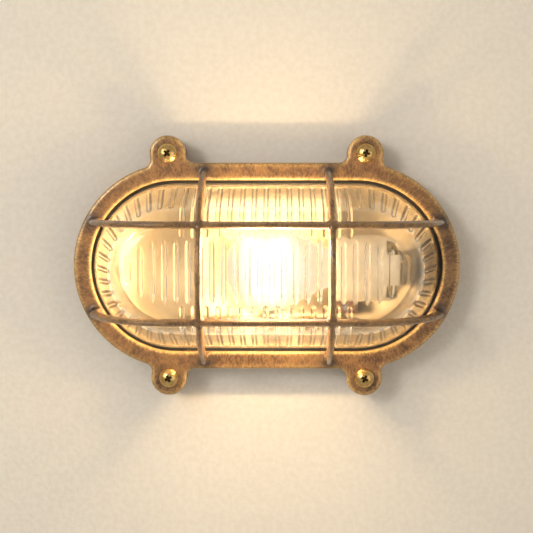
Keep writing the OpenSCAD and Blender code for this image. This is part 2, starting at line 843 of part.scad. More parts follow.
module terminal_block() {
    edge = 1.5;
    color(phenolic_brown) on_wall() difference() {
        translate([block_x - block_len / 2, -block_y - block_w / 2, floor_t]) difference() {
            cube([block_len, block_w, block_h]);
            for (y = [0, block_w]) translate([-over, y, block_h]) rotate([45, 0, 0])
                cube([block_len + 2 * over, edge, edge]);
        }
        for (s = [-1, 1]) translate([block_x + s * sleeve_spacing / 2, -block_y, 0]) {
            translate([0, block_w / 2, sleeve_h]) rotate([90, 0, 0])
                through(block_w, sleeve_r + fit_gap);
            translate([0, 0, sleeve_h]) cylinder(h = block_h, r = clamp_screw_r * 1.6);
        }
        translate([block_x, -block_y, floor_t]) {
            through(block_h, clamp_screw_r + hole_gap);
            translate([0, 0, block_h - block_head_drop])
                cylinder(h = block_head_drop + over, r = block_head_r + fit_gap);
        }
    }
}

module terminal_sleeves() {
    sleeve_len = block_w - 1;
    color(brass_raw) on_wall() for (s = [-1, 1])
        translate([block_x + s * sleeve_spacing / 2, -block_y, sleeve_h]) difference() {
            rotate([90, 0, 0]) cylinder(h = sleeve_len, r = sleeve_r, center = true);
            rotate([90, 0, 0]) cylinder(h = block_w, r = sleeve_bore_r, center = true);
            cylinder(h = block_h, r = clamp_screw_r + thread_gap);
        }
}

module terminal_screws() {
    shank_len = sleeve_r + 0.4;
    color(brass_bright) on_wall() for (s = [-1, 1])
        translate([block_x + s * sleeve_spacing / 2, -block_y, sleeve_h + sleeve_r + clamp_lift])
            slotted_screw(clamp_screw_r, shank_len, clamp_screw_r * 1.4, block_head_h);
}

module block_screw() {
    shank_len = floor_t + block_h - block_head_drop - 1.5 * hole_spare;
    color(steel_plated) on_wall() translate([block_x, -block_y, floor_t + block_h - block_head_drop])
        slotted_screw(clamp_screw_r, shank_len, block_head_r, block_head_h);
}

module earth_washer() {
    color(brass_bright) on_wall() translate([earth_x, -earth_y, pad_top]) difference() {
        cylinder(h = earth_washer_t, r = earth_boss_r - 0.5);
        through(earth_washer_t, small_shank_r + hole_gap);
    }
}

module earth_screw() {
    color(brass_bright) on_wall() translate([earth_x, -earth_y, pad_top + earth_washer_t])
        slotted_screw(small_shank_r, pad_top + earth_washer_t - 1.5 * hole_spare, small_head_r,
            small_head_h);
}

module cable_grommet() {
    color(rubber_black) on_wall() translate([cable_x, -cable_y, 0]) difference() {
        rotate_extrude() {
            square([grommet_flange_r, grommet_flange_t]);
            square([grommet_r - fit_gap, floor_t + grommet_flange_t]);
            translate([0, floor_t]) square([grommet_flange_r - grommet_flange_t, grommet_flange_t]);
            translate([grommet_flange_r - grommet_flange_t, floor_t]) intersection() {
                circle(grommet_flange_t);
                square(grommet_flange_t);
            }
        }
        through(floor_t + grommet_flange_t, cable_r);
    }
}

base_casting();
wall_seal();
lens_seat_gasket();
glass_lens();
guard_gasket();
guard_frame();
guard_screws();
lamp();
lampholder_body();
lampholder_shell();
middle_contact();
contact_screw();
holder_terminals();
holder_terminal_screws();
holder_nipple();
nipple_nut();
nipple_washer();
holder_bracket();
bracket_screws();
terminal_block();
terminal_sleeves();
terminal_screws();
block_screw();
earth_screw();
earth_washer();
cable_grommet();
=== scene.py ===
"""Dresses the oval bulkhead light: cast guard, fluted lens, lit lamp and its holder, on a plain wall.

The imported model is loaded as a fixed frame. A piece that needs a finer surface than its solid replaces
it, and every other solid keeps its mesh and gets a finish. Sizes of pieces are in millimetres, and those
of finishes, lights and the room in metres.
"""

import json
import logging
import math
from dataclasses import dataclass
from enum import Enum
from typing import Any, Callable

import bmesh
import bpy
import numpy as np
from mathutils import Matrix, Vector

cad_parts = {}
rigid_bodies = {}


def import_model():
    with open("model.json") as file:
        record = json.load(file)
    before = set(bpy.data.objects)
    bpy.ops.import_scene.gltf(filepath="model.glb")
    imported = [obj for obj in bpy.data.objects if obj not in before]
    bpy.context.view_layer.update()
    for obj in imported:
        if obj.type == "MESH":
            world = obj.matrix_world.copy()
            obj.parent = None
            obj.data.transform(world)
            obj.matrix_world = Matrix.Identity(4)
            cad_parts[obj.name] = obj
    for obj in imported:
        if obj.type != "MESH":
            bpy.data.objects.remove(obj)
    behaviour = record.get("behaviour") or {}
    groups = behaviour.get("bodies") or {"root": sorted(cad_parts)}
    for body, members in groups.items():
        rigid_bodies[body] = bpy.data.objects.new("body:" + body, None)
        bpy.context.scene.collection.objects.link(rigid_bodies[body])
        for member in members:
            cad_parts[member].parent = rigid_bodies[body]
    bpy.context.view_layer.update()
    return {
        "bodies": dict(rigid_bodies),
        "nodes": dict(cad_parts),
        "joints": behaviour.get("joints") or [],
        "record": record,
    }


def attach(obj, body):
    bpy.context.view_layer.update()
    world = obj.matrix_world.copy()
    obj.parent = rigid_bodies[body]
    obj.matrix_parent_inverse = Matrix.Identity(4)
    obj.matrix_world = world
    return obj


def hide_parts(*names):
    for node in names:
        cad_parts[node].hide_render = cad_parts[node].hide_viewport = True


LOG = logging.getLogger("bulkhead_light")
MM = 0.001
BODY = "root"
SEAM_GAP = 1e-7
LOOSE_GAP = 1e-6
SMOOTH_SHARE = 0.5
FULL_TURN = 360.0
NO_ANGLE = 999.0

Colour = tuple[float, float, float, float]
Place = tuple[float, float, float]
Profile = list[tuple[float, float]]
Faces = list[tuple[int, ...]]
RadiusForm = Callable[[float, float, float], float]
Socket = bpy.types.NodeSocket


class Corner(Enum):
    """The four ears of the guard, as signs of X and Z."""

    UPPER_RIGHT = (1, 1)
    UPPER_LEFT = (-1, 1)
    LOWER_LEFT = (-1, -1)
    LOWER_RIGHT = (1, -1)


class SocketKind(Enum):
    """Kinds of socket that the node trees take in and give out."""

    COLOUR = "NodeSocketColor"
    NUMBER = "NodeSocketFloat"
    VECTOR = "NodeSocketVector"
    OBJECT = "NodeSocketObject"
    MATERIAL = "NodeSocketMaterial"
    GEOMETRY = "NodeSocketGeometry"


class Blend(Enum):
    """What a Mix node mixes: its data type, then its two inputs and its output by number."""

    COLOUR = ("RGBA", 6, 7, 2)
    NUMBER = ("FLOAT", 2, 3, 0)


def tone(red: int, green: int, blue: int) -> Colour:
    """Turns a screen colour into the linear one that shaders take.

    Args:
        red: Red from 0 to 255.
        green: Green from 0 to 255.
        blue: Blue from 0 to 255.

    Returns:
        The linear colour with full alpha.
    """

    def linear(value: int) -> float:
        """Undoes the screen's curve for one channel."""
        share = value / 255.0
        return share / 12.92 if share <= 0.04045 else ((share + 0.055) / 1.055) ** 2.4

    return (linear(red), linear(green), linear(blue), 1.0)


def new_tree(
    kind: str, name: str, inputs: dict[str, SocketKind], outputs: dict[str, SocketKind]
) -> bpy.types.NodeTree:
    """Starts a node tree.

    Args:
        kind: The tree's type name.
        name: The tree's name.
        inputs: Sockets that go in, by name.
        outputs: Sockets that come out, by name.

    Returns:
        The empty tree with its sockets.
    """
    tree = bpy.data.node_groups.new(name, kind)
    for direction, sockets in (("INPUT", inputs), ("OUTPUT", outputs)):
        for label, socket in sockets.items():
            tree.interface.new_socket(label, in_out=direction, socket_type=socket.value)
    return tree


class NodeBench:
    """Adds nodes to a tree and joins their sockets."""

    def __init__(self, tree: bpy.types.NodeTree) -> None:
        """Works on the given tree."""
        self.tree = tree

    def add(self, kind: str, **settings: Any) -> bpy.types.Node:
        """Adds a node.

        Args:
            kind: The node's type name.
            settings: Properties to set on it.

        Returns:
            The new node.
        """
        node = self.tree.nodes.new(kind)
        for name, value in settings.items():
            setattr(node, name, value)
        return node

    def join(self, source: Socket, target: Socket) -> None:
        """Links an output to an input."""
        self.tree.links.new(source, target)

    def feed(self, value: Any, target: Socket) -> None:
        """Links a socket to an input, or sets a plain value on it.

        Args:
            value: The socket or the plain value.
            target: The input.
        """
        if isinstance(value, bpy.types.NodeSocket):
            self.join(value, target)
        else:
            target.default_value = value

    def place(self) -> Socket:
        """Gives the point in the piece's own coordinates."""
        return self.add("ShaderNodeTexCoord").outputs["Object"]

    def stored(self, name: str) -> bpy.types.bpy_prop_collection:
        """Gives the outputs for an attribute of the piece."""
        return self.add("ShaderNodeAttribute", attribute_name=name).outputs

    def math(self, operation: str, first: Any, second: Any = 0.0, clamp: bool = False) -> Socket:
        """Adds a Math node.

        Args:
            operation: The operation's name.
            first: First socket or number.
            second: Second socket or number.
            clamp: Whether the result is kept from 0 to 1.

        Returns:
            The result's socket.
        """
        node = self.add("ShaderNodeMath", operation=operation, use_clamp=clamp)
        self.feed(first, node.inputs[0])
        self.feed(second, node.inputs[1])
        return node.outputs[0]

    def weigh(self, first: Socket, first_share: float, second: Socket, second_share: float) -> Socket:
        """Adds shares of two values.

        Args:
            first: First value.
            first_share: How much the first counts.
            second: Second value.
            second_share: How much the second counts.

        Returns:
            The sum's socket.
        """
        counted = self.math("MULTIPLY", first, first_share)
        return self.math("ADD", counted, self.math("MULTIPLY", second, second_share))

    def blend(self, factor: Any, first: Any, second: Any, kind: Blend = Blend.COLOUR) -> Socket:
        """Mixes two colours or numbers.

        Args:
            factor: Share of the second one.
            first: First value or socket.
            second: Second value or socket.
            kind: What is mixed.

        Returns:
            The mixed value's socket.
        """
        data_type, first_input, second_input, output = kind.value
        node = self.add("ShaderNodeMix", data_type=data_type)
        self.feed(factor, node.inputs[0])
        self.feed(first, node.inputs[first_input])
        self.feed(second, node.inputs[second_input])
        return node.outputs[output]

    def spread(
        self, value: Socket, low: float, high: float, to_low: float = 0.0, to_high: float = 1.0
    ) -> Socket:
        """Maps a range of values smoothly onto another.

        Args:
            value: The socket to map.
            low: Start of the range.
            high: End of the range.
            to_low: What the start becomes.
            to_high: What the end becomes.

        Returns:
            The mapped socket.
        """
        node = self.add("ShaderNodeMapRange", interpolation_type="SMOOTHSTEP")
        self.feed(value, node.inputs["Value"])
        limits = {"From Min": low, "From Max": high, "To Min": to_low, "To Max": to_high}
        for label, limit in limits.items():
            node.inputs[label].default_value = limit
        return node.outputs["Result"]

    def noise(self, where: Socket, size: Socket, detail: float, rough: float = 0.5) -> Socket:
        """Adds a noise texture.

        Args:
            where: The coordinates.
            size: Size of its marks in metres.
            detail: How many finer layers it has.
            rough: How much the finer layers count.

        Returns:
            The noise's socket.
        """
        node = self.add("ShaderNodeTexNoise")
        self.join(where, node.inputs["Vector"])
        self.join(self.math("DIVIDE", 1.0, size), node.inputs["Scale"])
        node.inputs["Detail"].default_value = detail
        node.inputs["Roughness"].default_value = rough
        return node.outputs["Fac"]

    def mix_shaders(self, factor: Socket, first: Socket, second: Socket) -> Socket:
        """Mixes two shaders.

        Args:
            factor: Share of the second shader.
            first: First shader.
            second: Second shader.

        Returns:
            The mixed shader's socket.
        """
        node = self.add("ShaderNodeMixShader")
        for index, socket in enumerate((factor, first, second)):
            self.join(socket, node.inputs[index])
        return node.outputs["Shader"]


@dataclass(frozen=True)
class Tarnish:
    """The effect of metal that is dark in its hollows, from patina and painted shade, and bright where it
    is rubbed.
    """

    patch_detail: float = 5.0
    fleck_detail: float = 4.0
    noise_rough: float = 0.62
    cloud_low: float = 0.36
    cloud_high: float = 0.66
    speck_low: float = 0.38
    speck_high: float = 0.64
    cloud_share: float = 0.55
    speck_share: float = 0.45
    rub_least: float = 0.45
    rub_speck: float = 0.75
    rub_polish: float = 0.5
    patch_height: float = 0.6
    fleck_height: float = 0.4

    def make(self) -> bpy.types.NodeTree:
        """Builds the effect's node group.

        Returns:
            The group, with a colour, a roughness and a height.
        """
        inputs = {name: SocketKind.COLOUR for name in ("Deep", "Mid", "Worn", "Grime")}
        inputs["Lay"] = SocketKind.VECTOR
        for name in ("Wear", "Soil", "Patch Size", "Fleck Size", "Smoothest", "Roughest"):
            inputs[name] = SocketKind.NUMBER
        outputs = {"Colour": SocketKind.COLOUR, "Roughness": SocketKind.NUMBER, "Height": SocketKind.NUMBER}
        bench = NodeBench(new_tree("ShaderNodeTree", "Tarnish", inputs, outputs))
        given = bench.add("NodeGroupInput").outputs
        result = bench.add("NodeGroupOutput").inputs
        patch = bench.noise(bench.place(), given["Patch Size"], self.patch_detail, self.noise_rough)
        fleck = bench.noise(given["Lay"], given["Fleck Size"], self.fleck_detail, self.noise_rough)
        cloud = bench.spread(patch, self.cloud_low, self.cloud_high)
        speck = bench.spread(fleck, self.speck_low, self.speck_high)
        mottled = bench.weigh(cloud, self.cloud_share, speck, self.speck_share)
        ground = bench.blend(mottled, given["Deep"], given["Mid"])
        rub = bench.math("ADD", self.rub_least, bench.math("MULTIPLY", speck, self.rub_speck))
        broken = bench.math("MULTIPLY", given["Wear"], rub, clamp=True)
        rubbed = bench.blend(broken, ground, given["Worn"])
        # The grime colour darkens by the stored share: patina and stains, and also painted shade in hollows
        # and recesses.
        bench.join(bench.blend(given["Soil"], rubbed, given["Grime"]), result["Colour"])
        polish = bench.math("MULTIPLY", broken, self.rub_polish)
        sheen = bench.math("SUBTRACT", mottled, polish, clamp=True)
        rough = bench.blend(sheen, given["Roughest"], given["Smoothest"], Blend.NUMBER)
        bench.join(rough, result["Roughness"])
        bench.join(bench.weigh(patch, self.patch_height, fleck, self.fleck_height), result["Height"])
        return bench.tree


@dataclass(frozen=True)
class Ripple:
    """The effect of the faint unevenness of moulded, glazed or painted surfaces."""

    detail: float = 2.0
    grain_height: float = 0.3
    shade_low: float = 0.3
    shade_high: float = 0.7

    def make(self) -> bpy.types.NodeTree:
        """Builds the effect's node group.

        Returns:
            The group, with a height and a shade between 0 and 1.
        """
        inputs = {"Wave Size": SocketKind.NUMBER, "Grain Size": SocketKind.NUMBER}
        outputs = {"Height": SocketKind.NUMBER, "Shade": SocketKind.NUMBER}
        bench = NodeBench(new_tree("ShaderNodeTree", "Ripple", inputs, outputs))
        given = bench.add("NodeGroupInput").outputs
        result = bench.add("NodeGroupOutput").inputs
        place = bench.place()
        wave = bench.noise(place, given["Wave Size"], self.detail)
        grain = bench.noise(place, given["Grain Size"], self.detail)
        fine = bench.math("MULTIPLY", grain, self.grain_height)
        bench.join(bench.math("ADD", wave, fine), result["Height"])
        bench.join(bench.spread(wave, self.shade_low, self.shade_high), result["Shade"])
        return bench.tree


class Effects:
    """Shader node groups that several finishes share."""

    def __init__(self) -> None:
        """Builds every group once."""
        self.tarnish = Tarnish().make()
        self.ripple = Ripple().make()


class Surface:
    """A material with one Principled shader, and the bench to extend it."""

    def __init__(self, name: str) -> None:
        """Starts the material with its shader and output.

        Args:
            name: The material's name.
        """
        self.material = bpy.data.materials.new(name)
        self.material.use_nodes = True
        tree = self.material.node_tree
        tree.nodes.clear()
        self.bench = NodeBench(tree)
        self.output = self.bench.add("ShaderNodeOutputMaterial")
        self.shader = self.bench.add("ShaderNodeBsdfPrincipled")
        self.show(self.shader.outputs["BSDF"])

    def show(self, shader: Socket) -> None:
        """Makes a shader the one that the material shows."""
        self.bench.join(shader, self.output.inputs["Surface"])

    def set(self, **values: Any) -> None:
        """Sets or links the shader's inputs, named with underscores for spaces."""
        for name, value in values.items():
            self.bench.feed(value, self.shader.inputs[name.replace("_", " ")])

    def effect(self, group: bpy.types.NodeTree, **values: Any) -> bpy.types.bpy_prop_collection:
        """Places a shared effect.

        Args:
            group: The effect's node group.
            values: Its inputs, named with underscores for spaces.

        Returns:
            The group node's outputs.
        """
        node = self.bench.add("ShaderNodeGroup")
        node.node_tree = group
        for name, value in values.items():
            self.bench.feed(value, node.inputs[name.replace("_", " ")])
        return node.outputs

    def relief(self, height: Socket, strength: float, depth: float) -> None:
        """Lets a height shape the shader's normal.

        Args:
            height: The height's socket.
            strength: Share of the relief that shows.
            depth: Depth of the relief in metres.
        """
        bump = self.bench.add("ShaderNodeBump")
        bump.inputs["Strength"].default_value = strength
        bump.inputs["Distance"].default_value = depth
        self.bench.join(height, bump.inputs["Height"])
        self.bench.join(bump.outputs["Normal"], self.shader.inputs["Normal"])


@dataclass(frozen=True)
class Finish:
    """What every finish has: a name, and a way to become a material."""

    name: str

    def make(self, effects: Effects) -> bpy.types.Material:
        """Builds the material.

        Args:
            effects: The shared node groups.

        Returns:
            The material.
        """
        surface = Surface(self.name)
        self.dress(surface, effects)
        return surface.material

    def dress(self, surface: Surface, effects: Effects) -> None:
        """Sets the surface's shader, which each kind of finish does in its own way."""
        raise NotImplementedError


@dataclass(frozen=True)
class BrassFinish(Finish):
    """Metal between bright and brown."""

    deep: Colour
    mid: Colour
    worn: Colour
    grime_and_shade: Colour
    patch: float
    fleck: float
    smoothest: float
    roughest: float
    relief: float
    metal: float = 1.0
    brushed: bool = False
    coat: float = 0.0
    coat_rough: float = 0.14
    bump: float = 0.5

    def dress(self, surface: Surface, effects: Effects) -> None:
        """Lays tarnish, wear, and soil with painted shade on the metal.

        Args:
            surface: The new material.
            effects: The shared node groups.
        """
        bench = surface.bench
        shown = surface.effect(
            effects.tarnish,
            Deep=self.deep,
            Mid=self.mid,
            Worn=self.worn,
            Wear=bench.stored("wear")["Fac"],
            Grime=self.grime_and_shade,
            Soil=bench.stored("soil_and_shade")["Fac"],
            Lay=bench.stored("lay")["Vector"] if self.brushed else bench.place(),
            Patch_Size=self.patch,
            Fleck_Size=self.fleck,
            Smoothest=self.smoothest,
            Roughest=self.roughest,
        )
        surface.set(Base_Color=shown["Colour"], Roughness=shown["Roughness"], Metallic=self.metal)
        surface.set(Coat_Weight=self.coat, Coat_Roughness=self.coat_rough)
        surface.relief(shown["Height"], self.bump, self.relief)


@dataclass(frozen=True)
class MouldedFinish(Finish):
    """Rubber, porcelain or plastic: one colour that drifts to another."""

    light: Colour
    dark: Colour
    roughness: float
    coat: float
    wave: float
    grain: float
    relief: float
    coat_rough: float = 0.08
    bump: float = 0.4

    def dress(self, surface: Surface, effects: Effects) -> None:
        """Lays a faint ripple on the surface.

        Args:
            surface: The new material.
            effects: The shared node groups.
        """
        shown = surface.effect(effects.ripple, Wave_Size=self.wave, Grain_Size=self.grain)
        colour = surface.bench.blend(shown["Shade"], self.dark, self.light)
        surface.set(Base_Color=colour, Roughness=self.roughness)
        surface.set(Coat_Weight=self.coat, Coat_Roughness=self.coat_rough)
        surface.relief(shown["Height"], self.bump, self.relief)


@dataclass(frozen=True)
class GlassFinish(Finish):
    """Clear pressed glass that lets lamp light through to what it shines on."""

    tint: Colour
    roughness: float
    wave: float
    grain: float
    relief: float
    haze: float
    haze_tint: Colour
    refraction: float = 1.5
    bump: float = 0.3

    def dress(self, surface: Surface, effects: Effects) -> None:
        """Makes the glass clear, with a trace of haze where the piece stores it.

        Args:
            surface: The new material.
            effects: The shared node groups.
        """
        bench = surface.bench
        shown = surface.effect(effects.ripple, Wave_Size=self.wave, Grain_Size=self.grain)
        surface.set(Base_Color=self.tint, Roughness=self.roughness)
        surface.set(IOR=self.refraction, Transmission_Weight=1.0)
        surface.relief(shown["Height"], self.bump, self.relief)
        clear = bench.add("ShaderNodeBsdfTransparent")
        clear.inputs["Color"].default_value = self.tint
        milk = bench.add("ShaderNodeBsdfTranslucent")
        milk.inputs["Color"].default_value = self.haze_tint
        share = bench.math("MULTIPLY", bench.stored("haze")["Fac"], self.haze)
        clouded = bench.mix_shaders(share, surface.shader.outputs["BSDF"], milk.outputs["BSDF"])
        path = bench.add("ShaderNodeLightPath").outputs
        surface.show(bench.mix_shaders(path["Is Shadow Ray"], clouded, clear.outputs["BSDF"]))


@dataclass(frozen=True)
class GlowFinish(Finish):
    """The lit opal bulb: soft to look at, and bright enough to light the wall round it."""

    body: Colour
    core: Colour
    rim: Colour
    glow: Colour
    seen: float
    reach: float
    full: float
    front: Place
    core_r: float
    rim_r: float
    sparkle: Colour
    plain_depth: float
    wave: float = 0.02
    grain: float = 0.004
    least_rim: float = 0.9
    roughness: float = 0.25

    def dress(self, surface: Surface, effects: Effects) -> None:
        """Gives the bulb one light for eyes and another for what it shines on.

        Args:
            surface: The new material.
            effects: The shared node groups.
        """
        bench = surface.bench
        shown = surface.effect(effects.ripple, Wave_Size=self.wave, Grain_Size=self.grain)
        apart = bench.add("ShaderNodeVectorMath", operation="DISTANCE")
        bench.join(bench.place(), apart.inputs[0])
        apart.inputs[1].default_value = self.front
        edge = bench.spread(apart.outputs["Value"], self.core_r, self.rim_r)
        uneven = bench.math("MULTIPLY", edge, bench.spread(shown["Shade"], 0.0, 1.0, self.least_rim))
        warm = bench.blend(uneven, self.core, self.rim)
        path = bench.add("ShaderNodeLightPath").outputs
        deep = bench.math("GREATER_THAN", path["Ray Depth"], self.plain_depth)
        surface.set(Base_Color=self.body, Roughness=self.roughness)
        surface.set(Emission_Color=bench.blend(deep, warm, self.sparkle), Emission_Strength=self.seen)
        fall = bench.add("ShaderNodeLightFalloff")
        fall.inputs["Strength"].default_value = self.reach
        light = bench.add("ShaderNodeEmission")
        light.inputs["Color"].default_value = self.glow
        bench.join(bench.math("MINIMUM", fall.outputs["Linear"], self.full), light.inputs["Strength"])
        looked_at = bench.math("MAXIMUM", path["Is Camera Ray"], path["Is Transmission Ray"])
        opal = surface.shader.outputs["BSDF"]
        surface.show(bench.mix_shaders(looked_at, light.outputs["Emission"], opal))


@dataclass(frozen=True)
class WallFinish(Finish):
    """Plain painted wall, seen from its front only."""

    paint: Colour
    shade: Colour
    wave: float = 0.004
    grain: float = 0.0012
    relief: float = 0.0007
    roughness: float = 0.85
    bump: float = 0.4

    def dress(self, surface: Surface, effects: Effects) -> None:
        """Paints the wall and clears its back.

        Args:
            surface: The new material.
            effects: The shared node groups.
        """
        bench = surface.bench
        shown = surface.effect(effects.ripple, Wave_Size=self.wave, Grain_Size=self.grain)
        colour = bench.blend(shown["Shade"], self.shade, self.paint)
        surface.set(Base_Color=colour, Roughness=self.roughness)
        surface.relief(shown["Height"], self.bump, self.relief)
        side = bench.add("ShaderNodeNewGeometry").outputs["Backfacing"]
        clear = bench.add("ShaderNodeBsdfTransparent").outputs["BSDF"]
        surface.show(bench.mix_shaders(side, surface.shader.outputs["BSDF"], clear))


class Finishes:
    """All materials of the light, made once."""

    def __init__(self) -> None:
        """Builds the shared effects and every material."""
        effects = Effects()
        self.cast = BrassFinish(
            name="cast_brass",
            deep=tone(104, 72, 48), mid=tone(176, 130, 86),
            worn=tone(232, 190, 124), grime_and_shade=tone(50, 46, 44),
            patch=0.016, fleck=0.0013, smoothest=0.3, roughest=0.5, relief=0.0006, metal=0.7,
        ).make(effects)
        # The guard's grime colour is patina with painted shade, laid in its hollows and round the bars'
        # feet.
        self.guard = BrassFinish(
            name="guard_brass",
            deep=tone(82, 56, 36), mid=tone(160, 120, 74),
            worn=tone(234, 192, 118), grime_and_shade=tone(50, 46, 44),
            patch=0.012, fleck=0.0011, smoothest=0.26, roughest=0.5, relief=0.001, metal=0.45,
            brushed=True, coat=0.8,
        ).make(effects)
        # The polished brass's dark colour is painted shade in the screws' cross recess.
        self.polished = BrassFinish(
            name="polished_brass",
            deep=tone(205, 160, 88), mid=tone(240, 208, 142),
            worn=tone(252, 232, 180), grime_and_shade=tone(30, 22, 14),
            patch=0.006, fleck=0.0008, smoothest=0.14, roughest=0.26, relief=0.00004,
        ).make(effects)
        self.plain = BrassFinish(
            name="plain_brass",
            deep=tone(144, 126, 97), mid=tone(170, 152, 122),
            worn=tone(194, 176, 146), grime_and_shade=tone(112, 80, 44),
            patch=0.02, fleck=0.002, smoothest=0.4, roughest=0.56, relief=0.0001, metal=0.7,
        ).make(effects)
        self.plated = BrassFinish(
            name="plated_steel",
            deep=tone(150, 152, 156), mid=tone(205, 206, 208),
            worn=tone(228, 228, 228), grime_and_shade=tone(90, 88, 86),
            patch=0.01, fleck=0.001, smoothest=0.2, roughest=0.36, relief=0.00005,
        ).make(effects)
        self.rubber = MouldedFinish(
            name="rubber", light=tone(20, 17, 15), dark=tone(10, 9, 8),
            roughness=0.8, coat=0.0, wave=0.012, grain=0.0008, relief=0.0002,
        ).make(effects)
        self.porcelain = MouldedFinish(
            name="porcelain", light=tone(190, 176, 152), dark=tone(176, 162, 138),
            roughness=0.2, coat=0.6, wave=0.014, grain=0.002, relief=0.0001,
        ).make(effects)
        self.phenolic = MouldedFinish(
            name="phenolic", light=tone(96, 60, 36), dark=tone(58, 34, 20),
            roughness=0.32, coat=0.2, wave=0.006, grain=0.0009, relief=0.0001,
        ).make(effects)
        self.insulator = MouldedFinish(
            name="cap_insulator", light=tone(30, 28, 30), dark=tone(16, 15, 16),
            roughness=0.25, coat=0.3, wave=0.005, grain=0.0008, relief=0.00005,
        ).make(effects)
        self.glass = GlassFinish(
            name="pressed_glass", tint=(0.99, 0.985, 0.965, 1.0),
            roughness=0.1, wave=0.009, grain=0.0015, relief=0.00012,
            haze=0.022, haze_tint=(1.0, 0.94, 0.86, 1.0),
        ).make(effects)
        self.glow = GlowFinish(
            name="lit_opal", body=(0.03, 0.028, 0.024, 1.0),
            core=(1.0, 0.96, 0.86, 1.0), rim=(0.72, 0.56, 0.34, 1.0), glow=(1.0, 0.75, 0.43, 1.0),
            seen=1.2, reach=560.0, full=52.0, front=(0.002, -0.0665, 0.0), core_r=0.008, rim_r=0.034,
            sparkle=(3.6, 3.2, 2.6, 1.0), plain_depth=2.5,
        ).make(effects)
        self.wall = WallFinish(
            name="wall_paint", paint=tone(237, 231, 219), shade=tone(232, 225, 212)
        ).make(effects)

    def by_slot(self) -> dict[str, bpy.types.Material]:
        """Gives the material for each of the record's slots."""
        return {
            "brass_aged": self.cast,
            "brass_bright": self.polished,
            "brass_raw": self.plain,
            "steel_plated": self.plated,
            "rubber_black": self.rubber,
            "glass_clear": self.glass,
            "porcelain_white": self.porcelain,
            "phenolic_brown": self.phenolic,
            "lamp_opal": self.glow,
        }


def settle(obj: bpy.types.Object, modifier: bpy.types.Modifier) -> None:
    """Turns an object with a modifier into a plain mesh.

    Args:
        obj: The object.
        modifier: Its only modifier.
    """
    graph = bpy.context.evaluated_depsgraph_get()
    mesh = bpy.data.meshes.new_from_object(obj.evaluated_get(graph))
    obj.modifiers.remove(modifier)
    obj.data = mesh


def link_mesh(name: str, mesh: bpy.types.Mesh) -> bpy.types.Object:
    """Puts a mesh into the scene as an object at the origin.

    Args:
        name: The object's name.
        mesh: Its mesh.

    Returns:
        The object.
    """
    obj = bpy.data.objects.new(name, mesh)
    bpy.context.scene.collection.objects.link(obj)
    return obj


def weld(source: bpy.types.Mesh, target: bpy.types.Mesh, gap: float) -> None:
    """Joins the points of a mesh that lie together and turns its faces outwards.

    Args:
        source: The mesh to start from.
        target: The mesh that takes the result, which may be the same one.
        gap: Greatest distance of points that are joined, in metres.
    """
    shape = bmesh.new()
    shape.from_mesh(source)
    bmesh.ops.remove_doubles(shape, verts=shape.verts, dist=gap)
    bmesh.ops.recalc_face_normals(shape, faces=shape.faces)
    shape.to_mesh(target)
    shape.free()


def welded_copy(node: bpy.types.Object, name: str) -> bpy.types.Object:
    """Copies a solid of the frame and joins its loose triangles.

    Args:
        node: The frame's object.
        name: Name of the copy.

    Returns:
        The copy, with its normals outwards.
    """
    mesh = bpy.data.meshes.new(name)
    weld(node.data, mesh, LOOSE_GAP)
    return link_mesh(name, mesh)


def raw_mesh(name: str, points: np.ndarray, faces: Faces) -> bpy.types.Mesh:
    """Makes a mesh whose seams are still open.

    Args:
        name: The mesh's name.
        points: Points in millimetres.
        faces: Faces as point numbers.

    Returns:
        The mesh.
    """
    mesh = bpy.data.meshes.new(name)
    mesh.from_pydata((points * MM).tolist(), [], faces)
    return mesh


def close_mesh(name: str, mesh: bpy.types.Mesh) -> bpy.types.Object:
    """Joins the seams of a mesh, smooths it and puts it into the scene.

    Args:
        name: The object's name.
        mesh: A mesh with open seams.

    Returns:
        The object.
    """
    weld(mesh, mesh, SEAM_GAP)
    mesh.shade_smooth()
    return link_mesh(name, mesh)


def wear_only(obj: bpy.types.Object, *materials: bpy.types.Material) -> None:
    """Gives a piece these materials in place of those that it has.

    Args:
        obj: The piece.
        materials: Its materials, in order.
    """
    obj.data.materials.clear()
    for material in materials:
        obj.data.materials.append(material)


def ring_faces(rows: int, turns: int) -> Faces:
    """Lists the four-sided faces between rows of points that each go once round.

    Args:
        rows: How many rows there are.
        turns: Points in a row.

    Returns:
        Faces as point numbers.
    """
    faces = []
    for start in range(0, (rows - 1) * turns, turns):
        for step in range(turns):
            after = (step + 1) % turns
            faces.append((start + step, start + turns + step, start + turns + after, start + after))
    return faces


def lathe(profile: Profile, turns: int, form: RadiusForm | None = None) -> tuple[np.ndarray, Faces]:
    """Turns a profile about the X axis.

    Args:
        profile: Points as place along the axis and radius, from end to end, in millimetres.
        turns: Points round the axis.
        form: Gives the radius for a place, a radius and an angle, for a thread.

    Returns:
        Points in millimetres and faces.
    """
    points = []
    for along, radius in profile:
        for step in range(turns):
            angle = 2 * math.pi * step / turns
            reach = form(along, radius, angle) if form else radius
            points.append((along, reach * math.cos(angle), reach * math.sin(angle)))
    return np.array(points), ring_faces(len(profile), turns)


def read_vectors(mesh: bpy.types.Mesh, what: str = "co") -> np.ndarray:
    """Reads a vector of every point.

    Args:
        mesh: The mesh.
        what: The vector's name, for the point's place or its normal.

    Returns:
        One row for each point.
    """
    values = np.empty(len(mesh.vertices) * 3)
    mesh.vertices.foreach_get(what, values)
    return values.reshape(-1, 3)


def read_stored(mesh: bpy.types.Mesh, name: str) -> np.ndarray:
    """Reads an attribute that holds a number for every point.

    Args:
        mesh: The mesh.
        name: The attribute's name.

    Returns:
        One number for each point.
    """
    values = np.empty(len(mesh.vertices), dtype=np.float32)
    mesh.attributes[name].data.foreach_get("value", values)
    return values


